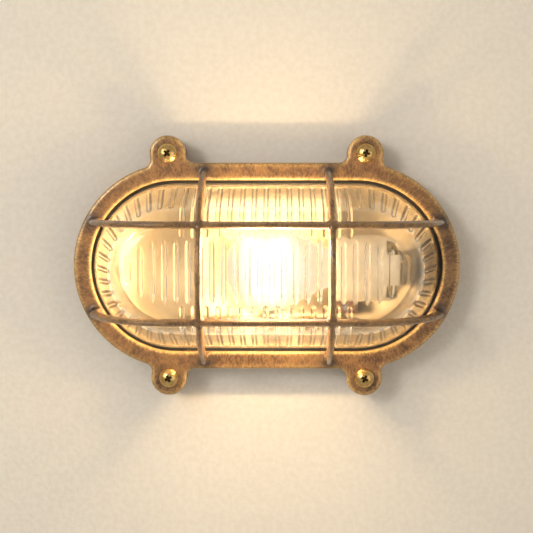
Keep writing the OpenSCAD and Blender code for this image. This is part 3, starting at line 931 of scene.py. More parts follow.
def store(mesh: bpy.types.Mesh, name: str, values: Any, domain: str = "POINT") -> None:
    """Stores numbers or vectors as an attribute, in place of what it held.

    Args:
        mesh: The mesh.
        name: The attribute's name.
        values: One number or one row of three for each point or face.
        domain: Whether points or faces are meant.
    """
    array = np.asarray(values, dtype=np.float32)
    kind, slot = ("FLOAT_VECTOR", "vector") if array.ndim > 1 else ("FLOAT", "value")
    layer = mesh.attributes.get(name) or mesh.attributes.new(name, kind, domain)
    layer.data.foreach_set(slot, array.ravel())


def soften(obj: bpy.types.Object, voxel: float, passes: int) -> None:
    """Rebuilds a mesh finely and evenly and rounds its edges, as a casting or glazed piece has them.

    Args:
        obj: The piece.
        voxel: Spacing of the new mesh in millimetres.
        passes: Rounds of smoothing.
    """
    remesh = obj.modifiers.new("remesh", "REMESH")
    remesh.mode = "VOXEL"
    remesh.voxel_size = voxel * MM
    settle(obj, remesh)
    smooth = obj.modifiers.new("smooth", "SMOOTH")
    smooth.factor = SMOOTH_SHARE
    smooth.iterations = passes
    settle(obj, smooth)
    obj.data.shade_smooth()


class FormTree:
    """A geometry node tree with named inputs."""

    def __init__(self, name: str, inputs: dict[str, SocketKind]) -> None:
        """Starts the tree.

        Args:
            name: The tree's name.
            inputs: Sockets that go in besides the geometry, by name.
        """
        shape = {"Geometry": SocketKind.GEOMETRY}
        self.tree = new_tree("GeometryNodeTree", name, shape | inputs, shape)
        self.bench = NodeBench(self.tree)
        self.given = self.bench.add("NodeGroupInput").outputs
        self.result = self.bench.add("NodeGroupOutput").inputs["Geometry"]

    def attribute(self, name: str) -> Socket:
        """Reads a number stored on the points.

        Args:
            name: The attribute's name.

        Returns:
            The number's socket.
        """
        node = self.bench.add("GeometryNodeInputNamedAttribute", data_type="FLOAT")
        node.inputs["Name"].default_value = name
        return node.outputs["Attribute"]

    def close(self, geometry: Socket) -> None:
        """Ends the tree by making instances real and giving them their material.

        Args:
            geometry: What the tree has made.
        """
        real = self.bench.add("GeometryNodeRealizeInstances")
        coat = self.bench.add("GeometryNodeSetMaterial")
        self.bench.join(geometry, real.inputs["Geometry"])
        self.bench.join(real.outputs["Geometry"], coat.inputs["Geometry"])
        self.bench.join(self.given["Finish"], coat.inputs["Material"])
        self.bench.join(coat.outputs["Geometry"], self.result)

    def run(self, obj: bpy.types.Object, values: dict[str, Any]) -> None:
        """Shapes an object with the tree and leaves a plain mesh.

        Args:
            obj: The object that goes in.
            values: The inputs by name.
        """
        modifier = obj.modifiers.new("form", "NODES")
        modifier.node_group = self.tree
        for item in self.tree.interface.items_tree:
            if item.in_out == "INPUT" and item.name in values:
                modifier[item.identifier] = values[item.name]
        settle(obj, modifier)


@dataclass
class PressedLens:
    """The pressed glass: a smooth outside, flutes up the inside of its wall and ribs behind its front."""

    half: float = 64.0
    root_r: float = 58.5
    face_h: float = 26.0
    top_h: float = 77.0
    shoulder_r: float = 11.0
    inner_shoulder_r: float = 14.0
    lean: float = 20.0
    glass_t: float = 3.5
    flange_r: float = 67.5
    flange_low: float = 14.0
    flange_high: float = 19.0
    flange_round: float = 0.6
    fillet: float = 1.2
    fillet_mid_r: float = 0.3
    fillet_mid_h: float = 0.4
    pitch: float = 8.0
    end_step: float = 10.0
    flute_r: float = 1.9
    flute_sink: float = 0.6
    flute_foot: float = 6.0
    flute_run: float = 3.0
    short_top: float = 64.0
    rib_half: float = 23.2
    rib_reach: float = 33.0
    rib_tip: float = 6.0
    rib_tip_slim: float = 0.72
    rib_least_tips: float = 1.5
    flute_press: float = 0.56
    rib_press: float = 0.95
    haze_from: float = 58.0
    haze_front: float = 0.3
    pitch_columns: int = 16
    step_columns: int = 12
    crowding: float = 0.5
    row_ease: float = 1.0
    foot_ease: float = 2.0
    wall_rows: tuple[int, ...] = (1, 7, 3, 8)
    inner_bends: int = 9
    outer_bends: int = 13
    front_rows: int = 46
    outer_front: tuple[float, ...] = (0.96, 0.5, 0.0)

    def crowd(self, count: int) -> np.ndarray:
        """Divides a pitch so that columns crowd where a flute or rib meets the plain glass.

        Args:
            count: Columns in one pitch.

        Returns:
            Places from 0 up to 1.
        """
        even = np.arange(count) / count
        two_turns = 4.0 * math.pi
        return even + self.crowding * np.sin(two_turns * even) / two_turns

    def columns(self) -> np.ndarray:
        """Lists the columns round the oval.

        Returns:
            For each column the X of its middle, its direction in X and Z, and the angle round its end in
            degrees, which is beyond a turn on the straight sides.
        """
        pitches = np.arange(-self.half, self.half, self.pitch)
        straight = np.add.outer(pitches, self.pitch * self.crowd(self.pitch_columns)).ravel()
        quarter = FULL_TURN / 4
        steps = np.arange(-quarter, quarter, self.end_step)
        turn = np.add.outer(steps, self.end_step * self.crowd(self.step_columns)).ravel()
        rows = []
        for side in (1.0, -1.0):
            rows += [(side * x, 0.0, -side, NO_ANGLE) for x in straight]
            for angle in turn:
                around = math.radians(angle)
                rows.append((side * self.half, side * math.cos(around), side * math.sin(around), angle))
        return np.array(rows)

    def root(self, inner: bool) -> tuple[float, float]:
        """Finds the foot of the leaning wall.

        Args:
            inner: Whether it is the inner face.

        Returns:
            Its radius and height.
        """
        lean = math.radians(self.lean)
        shift = self.glass_t if inner else 0.0
        return (self.root_r - shift * math.cos(lean), self.face_h - shift * math.sin(lean))

    def shoulder_mid(self, inner: bool) -> tuple[float, float]:
        """Finds the middle about which the shoulder is rounded.

        Args:
            inner: Whether it is the inner face.

        Returns:
            Its radius and height.
        """
        lean = math.radians(self.lean)
        bend = self.inner_shoulder_r if inner else self.shoulder_r
        root_r, root_h = self.root(inner)
        mid_h = self.top_h - (self.glass_t if inner else 0.0) - bend
        return (root_r - (bend + (mid_h - root_h) * math.sin(lean)) / math.cos(lean), mid_h)

    def wall_heights(self, inner: bool, low: float, high: float) -> np.ndarray:
        """Lists the heights of the wall's rows, close together where flutes begin and end.

        Args:
            inner: Whether it is the inner face.
            low: Height of the wall's foot.
            high: Height where the shoulder begins.

        Returns:
            The heights, upwards.
        """
        ease = self.row_ease
        if not inner:
            return np.array([low, low + ease, high - ease, high])
        foot = low + self.flute_foot
        stops = [low, foot - self.foot_ease, foot + ease, self.short_top - ease, high]
        spans = zip(stops[:-1], stops[1:], self.wall_rows)
        heights = [np.linspace(start, stop, count, endpoint=False) for start, stop, count in spans]
        return np.concatenate(heights + [np.array([high])])

    def flange(self, root_r: float) -> Profile:
        """Lists the seating flange and the fillet above it.

        Args:
            root_r: Radius of the wall's outer foot.

        Returns:
            Radius and height of each row.
        """
        edge = self.flange_r - self.flange_round
        return [
            (edge, self.flange_low),
            (self.flange_r, self.flange_low + self.flange_round),
            (self.flange_r, self.flange_high - self.flange_round),
            (edge, self.flange_high),
            (root_r + self.fillet, self.flange_high),
            (root_r + self.fillet_mid_r, self.flange_high + self.fillet_mid_h),
            (root_r, self.flange_high + self.fillet),
        ]

    def skin(self, inner: bool) -> Profile:
        """Lists the section of one face of the glass, from its foot to the middle of its front.

        Args:
            inner: Whether it is the inner face.

        Returns:
            Radius and height of each row.
        """
        lean = math.radians(self.lean)
        bend = self.inner_shoulder_r if inner else self.shoulder_r
        bends = self.inner_bends if inner else self.outer_bends
        root_r, root_h = self.root(inner)
        mid_r, mid_h = self.shoulder_mid(inner)
        wall_end = mid_h + bend * math.sin(lean)
        rows = [(root_r, self.flange_low)] if inner else self.flange(root_r)
        rows.append((root_r, root_h - self.row_ease))
        for height in self.wall_heights(inner, root_h, wall_end):
            rows.append((root_r - (height - root_h) * math.tan(lean), height))
        for angle in np.linspace(lean, math.pi / 2, bends)[1:]:
            rows.append((mid_r + bend * math.cos(angle), mid_h + bend * math.sin(angle)))
        shares = np.linspace(1.0, 0.0, self.front_rows)[1:] if inner else self.outer_front
        rows += [(mid_r * share, mid_h + bend) for share in shares]
        return rows

    def rib_length(self, x: np.ndarray) -> np.ndarray:
        """Gives half the length of the rib at a distance from the middle."""
        past = np.clip((np.abs(x) - self.half) / self.rib_reach, 0.0, 1.0)
        return self.rib_half * np.sqrt(1.0 - past**2)

    def flute_gap(self, columns: np.ndarray, radius: np.ndarray, height: np.ndarray) -> np.ndarray:
        """Measures how far each point of the inner face lies from the middle line of a flute.

        Args:
            columns: The columns round the oval.
            radius: Radius of each row, as a column of numbers.
            height: Height of each row, as a column of numbers.

        Returns:
            Distances in millimetres, by row and column.
        """
        mid_x, _, _, angle = columns.T
        straight = angle[None, :] > FULL_TURN
        across_long = mid_x - np.round(mid_x / self.pitch) * self.pitch
        turned = np.radians(angle - np.round(angle / self.end_step) * self.end_step)
        across = np.where(straight, across_long[None, :], turned[None, :] * radius)
        long_here = straight & (np.abs(mid_x)[None, :] < self.half - self.pitch / 2)
        slope = math.cos(math.radians(self.lean))
        below = np.clip(self.root(True)[1] + self.flute_foot - height, 0.0, None) / slope
        past_front = np.clip(self.shoulder_mid(True)[0] - self.flute_run - radius, 0.0, None)
        past_top = np.clip(height - self.short_top, 0.0, None) / slope
        over = below + np.where(long_here, past_front, past_top)
        return np.sqrt(across**2 + over**2)

    def relief(self, columns: np.ndarray, rows: Profile) -> dict[str, np.ndarray]:
        """Measures each point of the inner face against the nearest flute or rib.

        Args:
            columns: The columns round the oval.
            rows: The inner face's section.

        Returns:
            By name and by row and column: away is the distance from its middle line, girth its radius
            there, and sunk how deep its middle line lies in the glass, all in millimetres.
        """
        radius = np.array([row[0] for row in rows])[:, None]
        height = np.array([row[1] for row in rows])[:, None]
        mid_x, dir_x, dir_z, _ = columns.T
        x = mid_x[None, :] + radius * dir_x[None, :]
        z = radius * dir_z[None, :]
        flute = self.flute_gap(columns, radius, height)
        lane = np.floor(x / self.pitch) * self.pitch + self.pitch / 2
        length = self.rib_length(lane)
        tip = np.clip((np.abs(z) - (length - self.rib_tip)) / self.rib_tip, 0.0, 1.0)
        long_enough = length > self.rib_least_tips * self.rib_tip
        slim = np.where(long_enough, 1.0 - self.rib_tip_slim * tip, 0.0)
        drop = self.top_h - self.glass_t - height
        on_rib = flute > self.flute_r
        press = np.where(on_rib, self.rib_press, self.flute_press)
        return {
            "away": press * np.where(on_rib, np.abs(x - lane), flute),
            "girth": press * np.where(on_rib, self.flute_r * slim, self.flute_r),
            "sunk": press * (self.flute_sink + np.where(on_rib, drop, 0.0)),
        }

    def cloud(self, height: float) -> float:
        """Gives the glass's share of haze at a height: full on the wall, less on the front."""
        up = (height - self.haze_from) / (self.top_h - self.glass_t - self.haze_from)
        return 1.0 + (self.haze_front - 1.0) * min(max(up, 0.0), 1.0)

    def press_tree(self) -> FormTree:
        """Builds the tree that presses round flutes and ribs into the inner face.

        Returns:
            The tree.
        """
        form = FormTree("Press flutes", {"Finish": SocketKind.MATERIAL})
        bench = form.bench
        girth, away = [bench.math("POWER", form.attribute(name), 2.0) for name in ("girth", "away")]
        arch = bench.math("SQRT", bench.math("MAXIMUM", bench.math("SUBTRACT", girth, away), 0.0))
        swell = bench.math("MAXIMUM", bench.math("SUBTRACT", arch, form.attribute("sunk")), 0.0)
        push = bench.add("ShaderNodeVectorMath", operation="SCALE")
        bench.join(bench.add("GeometryNodeInputNormal").outputs["Normal"], push.inputs[0])
        bench.join(swell, push.inputs["Scale"])
        moved = bench.add("GeometryNodeSetPosition")
        bench.join(form.given["Geometry"], moved.inputs["Geometry"])
        bench.join(push.outputs["Vector"], moved.inputs["Offset"])
        form.close(moved.outputs["Geometry"])
        return form

    def build(self, finishes: Finishes) -> bpy.types.Object:
        """Builds the lens.

        Args:
            finishes: The light's materials.

        Returns:
            The finished piece.
        """
        columns = self.columns()
        inner = self.skin(True)
        rows = inner[::-1] + self.skin(False)
        count = len(columns)
        mid_x, dir_x, dir_z, _ = columns.T
        points = np.concatenate(
            [np.stack([mid_x + r * dir_x, np.full(count, -h), r * dir_z], axis=1) for r, h in rows]
        )
        mesh = raw_mesh("lens", points, ring_faces(len(rows), count))
        for name, values in self.relief(columns, inner).items():
            spread = np.zeros((len(rows), count))
            spread[: len(inner)] = values[::-1]
            store(mesh, name, spread.ravel() * MM)
        store(mesh, "haze", np.repeat([self.cloud(row[1]) for row in rows], count))
        obj = close_mesh("pressed_lens", mesh)
        self.press_tree().run(obj, {"Finish": finishes.glass})
        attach(obj, BODY)
        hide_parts("glass_lens")
        return obj


@dataclass
class GuardFrame:
    """The cast ring with its ears and cage."""

    voxel: float = 0.84
    passes: int = 4
    edge_gain: float = 7.0
    edge_spread: int = 2
    spread_share: float = 0.5
    hollow_patina_and_shade: float = 0.8
    half: float = 64.0
    cage_r: float = 68.0
    upright_x: float = 43.5
    level_z: float = 32.0
    stain: float = 0.85
    stain_r: float = 6.5
    bar_from: float = 27.0
    bar_wear: float = 0.25
    grain_shift: float = 1000.0
    grain_stretch: float = 2.2

    def paint_wear(self, mesh: bpy.types.Mesh) -> None:
        """Stores how far each point stands out as the attribute wear, and how far it lies back as
        soil_and_shade, which stands for patina and painted shade in the hollows.

        Args:
            mesh: The casting's even mesh.
        """
        points = read_vectors(mesh)
        count = len(points)
        edges = np.empty(len(mesh.edges) * 2, dtype=np.int64)
        mesh.edges.foreach_get("vertices", edges)
        first, second = edges.reshape(-1, 2).T
        degree = np.maximum(np.bincount(first, minlength=count) + np.bincount(second, minlength=count), 1)

        def around(values: np.ndarray) -> np.ndarray:
            """Averages a value over each point's neighbours."""
            total = np.bincount(first, values[second], count) + np.bincount(second, values[first], count)
            return total / degree

        middle = np.stack([around(points[:, axis]) for axis in range(3)], axis=1)
        length = np.mean(np.linalg.norm(points[first] - points[second], axis=1))
        stands_out = np.einsum("ij,ij->i", points - middle, read_vectors(mesh, "normal"))
        wear = stands_out / length * self.edge_gain
        for _ in range(self.edge_spread):
            wear = (1.0 - self.spread_share) * wear + self.spread_share * around(wear)
        store(mesh, "wear", np.clip(wear, 0.0, 1.0))
        # Darkening of hollows: partly patina, partly painted shade in creases and corners.
        store(mesh, "soil_and_shade", np.clip(-self.hollow_patina_and_shade * wear, 0.0, 1.0))

    def stain_feet(self, mesh: bpy.types.Mesh) -> None:
        """Lessens the wear along the bars and adds dark stains round their feet to soil_and_shade.

        Args:
            mesh: The casting's mesh, with wear and soil.
        """
        x, y, z = read_vectors(mesh).T / MM
        wear = read_stored(mesh, "wear")
        wear[-y > self.bar_from] *= self.bar_wear
        store(mesh, "wear", wear)
        soil_and_shade = read_stored(mesh, "soil_and_shade")
        level_x = self.half + math.sqrt(self.cage_r**2 - self.level_z**2)
        for foot_x, foot_z in ((self.upright_x, self.cage_r), (level_x, self.level_z)):
            apart = np.hypot(np.abs(x) - foot_x, np.abs(z) - foot_z)
            soil_and_shade = np.maximum(soil_and_shade, self.stain * np.exp(-((apart / self.stain_r) ** 2)))
        store(mesh, "soil_and_shade", soil_and_shade)

    def lay_grain(self, mesh: bpy.types.Mesh) -> None:
        """Stores the run of the brushed grain, across the ring's width, as the attribute lay.

        Args:
            mesh: The casting's mesh.
        """
        x, y, z = read_vectors(mesh).T
        half = self.half * MM
        middle = np.clip(x, -half, half)
        across = np.hypot(x - middle, z)
        turn = np.arctan2(x - middle, np.abs(z))
        along = middle + turn * self.cage_r * MM + np.where(z < 0, self.grain_shift * MM, 0.0)
        store(mesh, "lay", np.stack([along, across / self.grain_stretch, y], axis=1))

    def build(self, frame: dict[str, Any], finishes: Finishes) -> bpy.types.Object:
        """Builds the guard with the blended edges of a casting.

        Args:
            frame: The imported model.
            finishes: The light's materials.

        Returns:
            The finished piece.
        """
        obj = welded_copy(frame["nodes"]["guard_frame"], "guard_casting")
        soften(obj, self.voxel, self.passes)
        self.paint_wear(obj.data)
        self.stain_feet(obj.data)
        self.lay_grain(obj.data)
        wear_only(obj, finishes.guard)
        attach(obj, BODY)
        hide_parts("guard_frame")
        return obj


@dataclass
class GuardScrews:
    """The four domed screws with a cross recess."""

    x: float = 70.0
    z: float = 80.0
    seat_h: float = 26.0
    head_r: float = 7.0
    head_h: float = 4.2
    rim_h: float = 0.8
    dome_in: float = 0.25
    seat_in: float = 0.3
    rim_round: float = 0.15
    shank_r: float = 2.95
    shank_len: float = 20.0
    shank_point: float = 1.0
    arm_w: float = 2.2
    arm_len: float = 6.6
    recess: float = 2.6
    floor_w: float = 0.55
    floor_len: float = 0.5
    cutter_rise: float = 1.0
    cutter_voxel: float = 0.12
    soil_and_shade: float = 0.9
    shade_reach: float = 0.55
    shade_depth: float = 0.12
    crease: float = 32.0
    dome_rows: int = 14
    columns: int = 64
    turns: tuple[float, ...] = (12.0, 38.0, 64.0, 25.0)

    def pattern(self) -> bpy.types.Object:
        """Builds one screw about the origin, its head towards -Y.

        Returns:
            The screw, to be repeated.
        """
        reaches = np.linspace(0.0, self.head_r - self.dome_in, self.dome_rows)
        profile = [(-self.dome_height(reach), reach) for reach in reaches]
        profile += [(self.rim_round - self.rim_h, self.head_r), (-self.rim_round, self.head_r)]
        profile += [(0.0, self.head_r - self.seat_in), (0.0, self.shank_r)]
        profile += [(self.shank_len - self.shank_point, self.shank_r), (self.shank_len, 0.0)]
        points, faces = lathe(profile, self.columns)
        obj = close_mesh("screw_pattern", raw_mesh("screw_pattern", points[:, [1, 0, 2]], faces))
        cutter = self.cross()
        cut = obj.modifiers.new("recess", "BOOLEAN")
        cut.operation = "DIFFERENCE"
        cut.object = cutter
        cut.solver = "EXACT"
        settle(obj, cut)
        bpy.data.objects.remove(cutter)
        self.paint_recess_shade(obj.data)
        obj.data.shade_smooth()
        obj.data.set_sharp_from_angle(angle=math.radians(self.crease))
        return obj

    def dome_height(self, reach: float) -> float:
        """Gives the height of the domed head.

        Args:
            reach: Distance from the head's middle.

        Returns:
            The height above the seat.
        """
        cap = self.head_h - self.rim_h
        ball = (self.head_r**2 + cap**2) / (2 * cap)
        return self.rim_h + math.sqrt(ball**2 - reach**2) - (ball - cap)

    def paint_recess_shade(self, mesh: bpy.types.Mesh) -> None:
        """Paints shade into the cross recess by marking the faces deep inside it.

        Args:
            mesh: The screw's mesh.
        """
        soil_and_shade = []
        for face in mesh.polygons:
            middle = face.center / MM
            reach = math.hypot(middle.x, middle.z)
            skin = self.dome_height(min(reach, self.head_r))
            in_head = middle.y < 0.0 and reach < self.arm_len * self.shade_reach
            # Painted shade: faces deep in the recess take the polished brass's dark colour.
            soil_and_shade.append(self.soil_and_shade if in_head and -middle.y < skin - self.shade_depth else 0.0)
        store(mesh, "soil_and_shade", soil_and_shade, "FACE")

    def cross(self) -> bpy.types.Object:
        """Builds the tapered cross that cuts the recess.

        Returns:
            The cutter.
        """
        shape = bmesh.new()
        for along in (0, 2):
            made = bmesh.ops.create_cube(shape, size=1.0)["verts"]
            for vert in made:
                deep = vert.co.y > 0
                width = self.arm_w * (self.floor_w if deep else 1.0)
                sizes = [width, 0.0, width]
                sizes[along] = self.arm_len * (self.floor_len if deep else 1.0)
                y = (self.recess if deep else -self.cutter_rise) - self.head_h
                vert.co = Vector((vert.co.x * sizes[0], y, vert.co.z * sizes[2])) * MM
        mesh = bpy.data.meshes.new("recess_cutter")
        bmesh.ops.recalc_face_normals(shape, faces=shape.faces)
        shape.to_mesh(mesh)
        shape.free()
        cutter = link_mesh("recess_cutter", mesh)
        whole = cutter.modifiers.new("whole", "REMESH")
        whole.mode = "VOXEL"
        whole.voxel_size = self.cutter_voxel * MM
        settle(cutter, whole)
        return cutter

    def repeat_tree(self) -> FormTree:
        """Builds the tree that sets a screw on each point, turned by its own angle.

        Returns:
            The tree.
        """
        form = FormTree("Set screws", {"Screw": SocketKind.OBJECT, "Finish": SocketKind.MATERIAL})
        bench = form.bench
        source = bench.add("GeometryNodeObjectInfo")
        bench.join(form.given["Screw"], source.inputs["Object"])
        euler = bench.add("ShaderNodeCombineXYZ")
        bench.join(form.attribute("turn"), euler.inputs["Y"])
        spin = bench.add("FunctionNodeEulerToRotation")
        bench.join(euler.outputs["Vector"], spin.inputs["Euler"])
        placed = bench.add("GeometryNodeInstanceOnPoints")
        bench.join(form.given["Geometry"], placed.inputs["Points"])
        bench.join(source.outputs["Geometry"], placed.inputs["Instance"])
        bench.join(spin.outputs["Rotation"], placed.inputs["Rotation"])
        form.close(placed.outputs["Instances"])
        return form

    def build(self, finishes: Finishes) -> bpy.types.Object:
        """Builds all four screws.

        Args:
            finishes: The light's materials.

        Returns:
            The finished piece.
        """
        signs = [corner.value for corner in Corner]
        points = np.array([(side * self.x, -self.seat_h, level * self.z) for side, level in signs])
        mesh = raw_mesh("screw_places", points, [])
        store(mesh, "turn", np.radians(self.turns))
        obj = link_mesh("guard_screw_set", mesh)
        pattern = self.pattern()
        self.repeat_tree().run(obj, {"Screw": pattern, "Finish": finishes.polished})
        bpy.data.objects.remove(pattern)
        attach(obj, BODY)
        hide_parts("guard_screws")
        return obj


@dataclass
class LitLamp:
    """The lit lamp: opal globe, neck and threaded cap, lying along X."""

    axis_h: float = 36.5
    crown_x: float = -28.9
    globe_r: float = 30.0
    globe_turn: float = 118.0
    neck_pull: float = 0.55
    neck_in: float = 0.4
    cap_x: float = 50.1
    cap_r: float = 13.1
    lip_back: float = 0.2
    lip_in: float = 0.9
    mouth_in: float = 0.2
    thread: float = 0.75
    thread_pitch: float = 3.6
    thread_start: float = 1.0
    thread_stop: float = 0.6
    thread_ease: float = 0.1
    shoulder_in: float = 1.8
    tip_x: float = 76.1
    tip_len: float = 5.0
    tip_steps: tuple[tuple[float, float], ...] = (
        (1.3, 6.4),
        (1.2, 5.2),
        (0.6, 5.0),
        (0.0, 3.4),
        (0.0, 0.0),
    )
    globe_rows: int = 40
    neck_rows: int = 16
    thread_rows: int = 60
    columns: tuple[int, ...] = (96, 72, 48)

    @property
    def cap_end(self) -> float:
        """Gives the place where the cap's metal ends."""
        return self.tip_x - self.tip_len

    def glass_profile(self) -> Profile:
        """Lists the globe and the neck, which eases from the globe's slope into the cap.

        Returns:
            Place along the axis and radius of each row, from crown to cap.
        """
        mid = self.crown_x + self.globe_r
        rows = []
        for angle in np.linspace(0.0, math.radians(self.globe_turn), self.globe_rows):
            rows.append((mid - self.globe_r * math.cos(angle), self.globe_r * math.sin(angle)))
        start_x, start_r = rows[-1]
        slope = -1.0 / math.tan(math.radians(FULL_TURN / 2 - self.globe_turn))
        end_r = self.cap_r - self.neck_in
        span = self.cap_x - start_x
        for share in np.linspace(0.0, 1.0, self.neck_rows)[1:]:
            ease = 3 * share**2 - 2 * share**3
            bend = (share**3 - 2 * share**2 + share) * slope * span * self.neck_pull
            rows.append((start_x + span * share, (1.0 - ease) * start_r + ease * end_r + bend))
        return rows

    def cap_profile(self) -> Profile:
        """Lists the threaded cap.

        Returns:
            Place along the axis and radius of each row, from its mouth to its shoulder.
        """
        first = self.cap_x + self.thread_start
        last = self.cap_end - self.thread_stop
        rows = [(self.cap_x - self.lip_back, self.cap_r - self.lip_in)]
        rows.append((self.cap_x, self.cap_r - self.mouth_in))
        rows += [(x, self.cap_r - self.thread) for x in np.linspace(first, last, self.thread_rows)]
        rows.append((self.cap_end, self.cap_r - self.shoulder_in))
        return rows

    def tip_profile(self) -> Profile:
        """Lists the dark insulator and the contact at the end."""
        steps = [(self.tip_x - back, radius) for back, radius in self.tip_steps]
        return [(self.cap_end, self.cap_r - self.shoulder_in)] + steps

    def helix(self, along: float, radius: float, angle: float) -> float:
        """Forms the cap's rounded thread.

        Args:
            along: Place along the axis.
            radius: Radius at the thread's root.
            angle: Angle round the axis in radians.

        Returns:
            The radius there.
        """
        first = self.cap_x + self.thread_start - self.thread_ease
        last = self.cap_end - self.thread_stop + self.thread_ease
        if not first < along < last:
            return radius
        lead = (along - self.cap_x) / self.thread_pitch - angle / (2 * math.pi)
        return radius + self.thread * (0.5 + 0.5 * math.cos(2 * math.pi * lead))

    def build(self, finishes: Finishes) -> bpy.types.Object:
        """Builds the lamp as one piece with its own finishes.

        Args:
            finishes: The light's materials.

        Returns:
            The finished piece.
        """
        profiles = (self.glass_profile(), self.cap_profile(), self.tip_profile())
        forms = (None, self.helix, None)
        points = np.zeros((0, 3))
        faces: Faces = []
        kinds: list[int] = []
        for kind, profile in enumerate(profiles):
            part_points, part_faces = lathe(profile, self.columns[kind], forms[kind])
            faces += [tuple(index + len(points) for index in face) for face in part_faces]
            kinds += [kind] * len(part_faces)
            points = np.concatenate([points, part_points])
        mesh = raw_mesh("lamp", points - np.array([0.0, self.axis_h, 0.0]), faces)
        for material in (finishes.glow, finishes.plated, finishes.insulator):
            mesh.materials.append(material)
        mesh.polygons.foreach_set("material_index", kinds)
        obj = close_mesh("lit_lamp", mesh)
        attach(obj, BODY)
        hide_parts("lamp")
        return obj


@dataclass
class BaseCasting:
    """The cast base: brown outside and bright inside, where the lamp shines on it."""

    half: float = 64.0
    bright_r: float = 61.0
    floor_h: float = 3.5
    crease: float = 34.0

    def build(self, frame: dict[str, Any], finishes: Finishes) -> bpy.types.Object:
        """Builds the base.

        Args:
            frame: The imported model.
            finishes: The light's materials.

        Returns:
            The finished piece.
        """
        obj = welded_copy(frame["nodes"]["base_casting"], "base_body")
        mesh = obj.data
        mesh.shade_smooth()
        mesh.set_sharp_from_angle(angle=math.radians(self.crease))
        wear_only(obj, finishes.cast, finishes.plain)
        kinds = []
        for face in mesh.polygons:
            middle = face.center / MM
            reach = math.hypot(max(abs(middle.x) - self.half, 0.0), middle.z)
            kinds.append(1 if reach < self.bright_r and -middle.y > self.floor_h else 0)
        mesh.polygons.foreach_set("material_index", kinds)
        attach(obj, BODY)
        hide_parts("base_casting")
        return obj


@dataclass
class PorcelainHolder:
    """The lampholder's porcelain, with soft glazed edges."""

    voxel: float = 0.7
    passes: int = 5

    def build(self, frame: dict[str, Any], finishes: Finishes) -> bpy.types.Object:
        """Builds the porcelain body.

        Args:
            frame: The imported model.
            finishes: The light's materials.

        Returns:
            The finished piece.
        """
        obj = welded_copy(frame["nodes"]["lampholder_body"], "holder_porcelain")
        soften(obj, self.voxel, self.passes)
        wear_only(obj, finishes.porcelain)
        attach(obj, BODY)
        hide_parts("lampholder_body")
        return obj


def dress_rest(frame: dict[str, Any], finishes: Finishes, replaced: set[str]) -> None:
    """Gives every solid that keeps its mesh the finish of its slot.

    Args:
        frame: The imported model.
        finishes: The light's materials.
        replaced: Names of the solids that a piece stands for.
    """
    looks = finishes.by_slot()
    slots = {part["node"]: part["material_slot"] for part in frame["record"]["subparts"]}
    for name, obj in frame["nodes"].items():
        if name in replaced:
            continue
        wear_only(obj, looks[slots[name]])
        LOG.info("solid %s takes %s", name, slots[name])


@dataclass(frozen=True)
class SoftLight:
    """A square soft light: its place, side, power in watts and colour."""

    name: str
    place: Place
    size: float
    power: float
    colour: tuple[float, float, float]

    def hang(self, target: Place) -> None:
        """Puts the light into the scene.

        Args:
            target: The place that it looks at.
        """
        lamp = bpy.data.lights.new(self.name, "AREA")
        lamp.size = self.size
        lamp.energy = self.power
        lamp.color = self.colour
        obj = bpy.data.objects.new(self.name, lamp)
        obj.location = self.place
        obj.rotation_euler = (Vector(target) - Vector(self.place)).to_track_quat("-Z", "Y").to_euler()
        bpy.context.scene.collection.objects.link(obj)


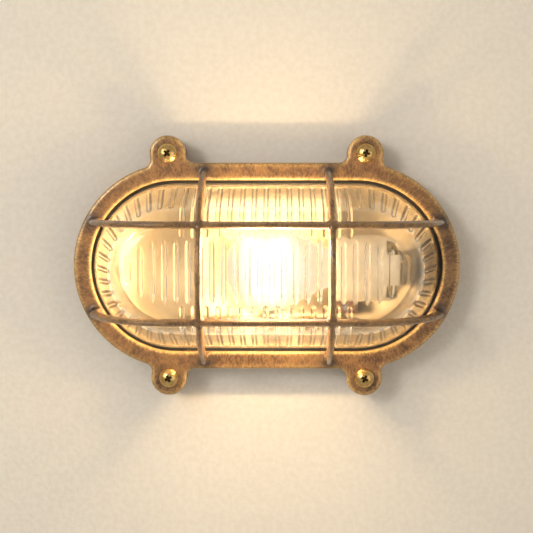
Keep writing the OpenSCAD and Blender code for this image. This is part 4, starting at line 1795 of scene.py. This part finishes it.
@dataclass
class Studio:
    """The wall, the lights and the camera."""

    wall_size: float = 4.0
    wall_gap: float = 0.0004
    target: Place = (0.0, -0.026, 0.0)
    distance: float = 0.8
    elevation: float = 4.5
    aside: float = 0.6
    lens: float = 76.1
    sensor: float = 36.0
    near: float = 0.01
    soft_lights: tuple[SoftLight, ...] = (
        SoftLight("key", (-1.15, -1.5, 0.6), 1.3, 9.5, (1.0, 0.96, 0.9)),
        SoftLight("window", (-0.95, -1.6, 0.55), 0.36, 6.5, (1.0, 0.96, 0.92)),
        SoftLight("fill", (1.4, -1.8, -0.2), 1.6, 5.0, (1.0, 0.88, 0.74)),
    )
    glow_levels: tuple[float, ...] = (0.02, -0.03)
    glow_y: float = -0.0702
    glow_x: float = 0.012
    glow_r: float = 0.003
    glow_power: float = 0.16
    glow_colour: tuple[float, float, float] = (1.0, 0.72, 0.4)
    room_colour: Colour = (1.0, 0.93, 0.84, 1.0)
    room_power: float = 0.42

    def build(self, finishes: Finishes) -> None:
        """Builds all that isn't the light itself.

        Args:
            finishes: The light's materials.
        """
        self.hang_wall(finishes)
        for light in self.soft_lights:
            light.hang(self.target)
        for level in self.glow_levels:
            for side in (-self.glow_x, self.glow_x):
                self.add_glow((side, self.glow_y, level))
        self.fill_room()
        self.set_camera()

    def hang_wall(self, finishes: Finishes) -> None:
        """Puts a plain wall behind the light, which keeps no light from its back.

        Args:
            finishes: The light's materials.
        """
        reach = self.wall_size / 2
        signs = ((-1, -1), (1, -1), (1, 1), (-1, 1))
        mesh = bpy.data.meshes.new("wall")
        mesh.from_pydata([(x * reach, self.wall_gap, z * reach) for x, z in signs], [], [(0, 1, 2, 3)])
        mesh.materials.append(finishes.wall)
        wall = link_mesh("wall", mesh)
        wall.visible_shadow = False

    def add_glow(self, place: Place) -> None:
        """Adds a light that the lit glass itself throws on ring, bars and wall.

        Args:
            place: Where it stands behind the glass, in metres.
        """
        glow = bpy.data.lights.new("lens_glow", "POINT")
        glow.energy = self.glow_power
        glow.color = self.glow_colour
        glow.shadow_soft_size = self.glow_r
        obj = bpy.data.objects.new("lens_glow", glow)
        obj.location = place
        obj.visible_camera = False
        obj.visible_transmission = False
        bpy.context.scene.collection.objects.link(obj)

    def fill_room(self) -> None:
        """Sets the pale room all round."""
        world = bpy.data.worlds.new("room")
        world.use_nodes = True
        ground = world.node_tree.nodes["Background"]
        ground.inputs["Color"].default_value = self.room_colour
        ground.inputs["Strength"].default_value = self.room_power
        bpy.context.scene.world = world

    def set_camera(self) -> None:
        """Sets the camera where the photograph was taken from."""
        rise = math.radians(self.elevation)
        turn = math.radians(self.aside)
        target = Vector(self.target)
        camera = bpy.data.cameras.new("camera")
        camera.lens = self.lens
        camera.sensor_width = self.sensor
        camera.clip_start = self.near
        obj = bpy.data.objects.new("camera", camera)
        level = self.distance * math.cos(rise)
        away = Vector((level * math.sin(turn), -level * math.cos(turn), self.distance * math.sin(rise)))
        obj.location = target + away
        obj.rotation_euler = (target - obj.location).to_track_quat("-Z", "Y").to_euler()
        scene = bpy.context.scene
        scene.collection.objects.link(obj)
        scene.camera = obj
        scene.view_settings.view_transform = "Standard"


def main() -> None:
    """Builds the light piece by piece and reports each one."""
    logging.basicConfig(level=logging.INFO, format="%(name)s: %(message)s")
    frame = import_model()
    finishes = Finishes()
    Studio().build(finishes)
    pieces = [
        GuardFrame().build(frame, finishes),
        GuardScrews().build(finishes),
        PressedLens().build(finishes),
        LitLamp().build(finishes),
        BaseCasting().build(frame, finishes),
        PorcelainHolder().build(frame, finishes),
    ]
    for piece in pieces:
        LOG.info("piece %s with %d faces", piece.name, len(piece.data.polygons))
    replaced = {"guard_frame", "guard_screws", "glass_lens", "lamp", "base_casting", "lampholder_body"}
    dress_rest(frame, finishes, replaced)


if __name__ == "__main__":
    main()
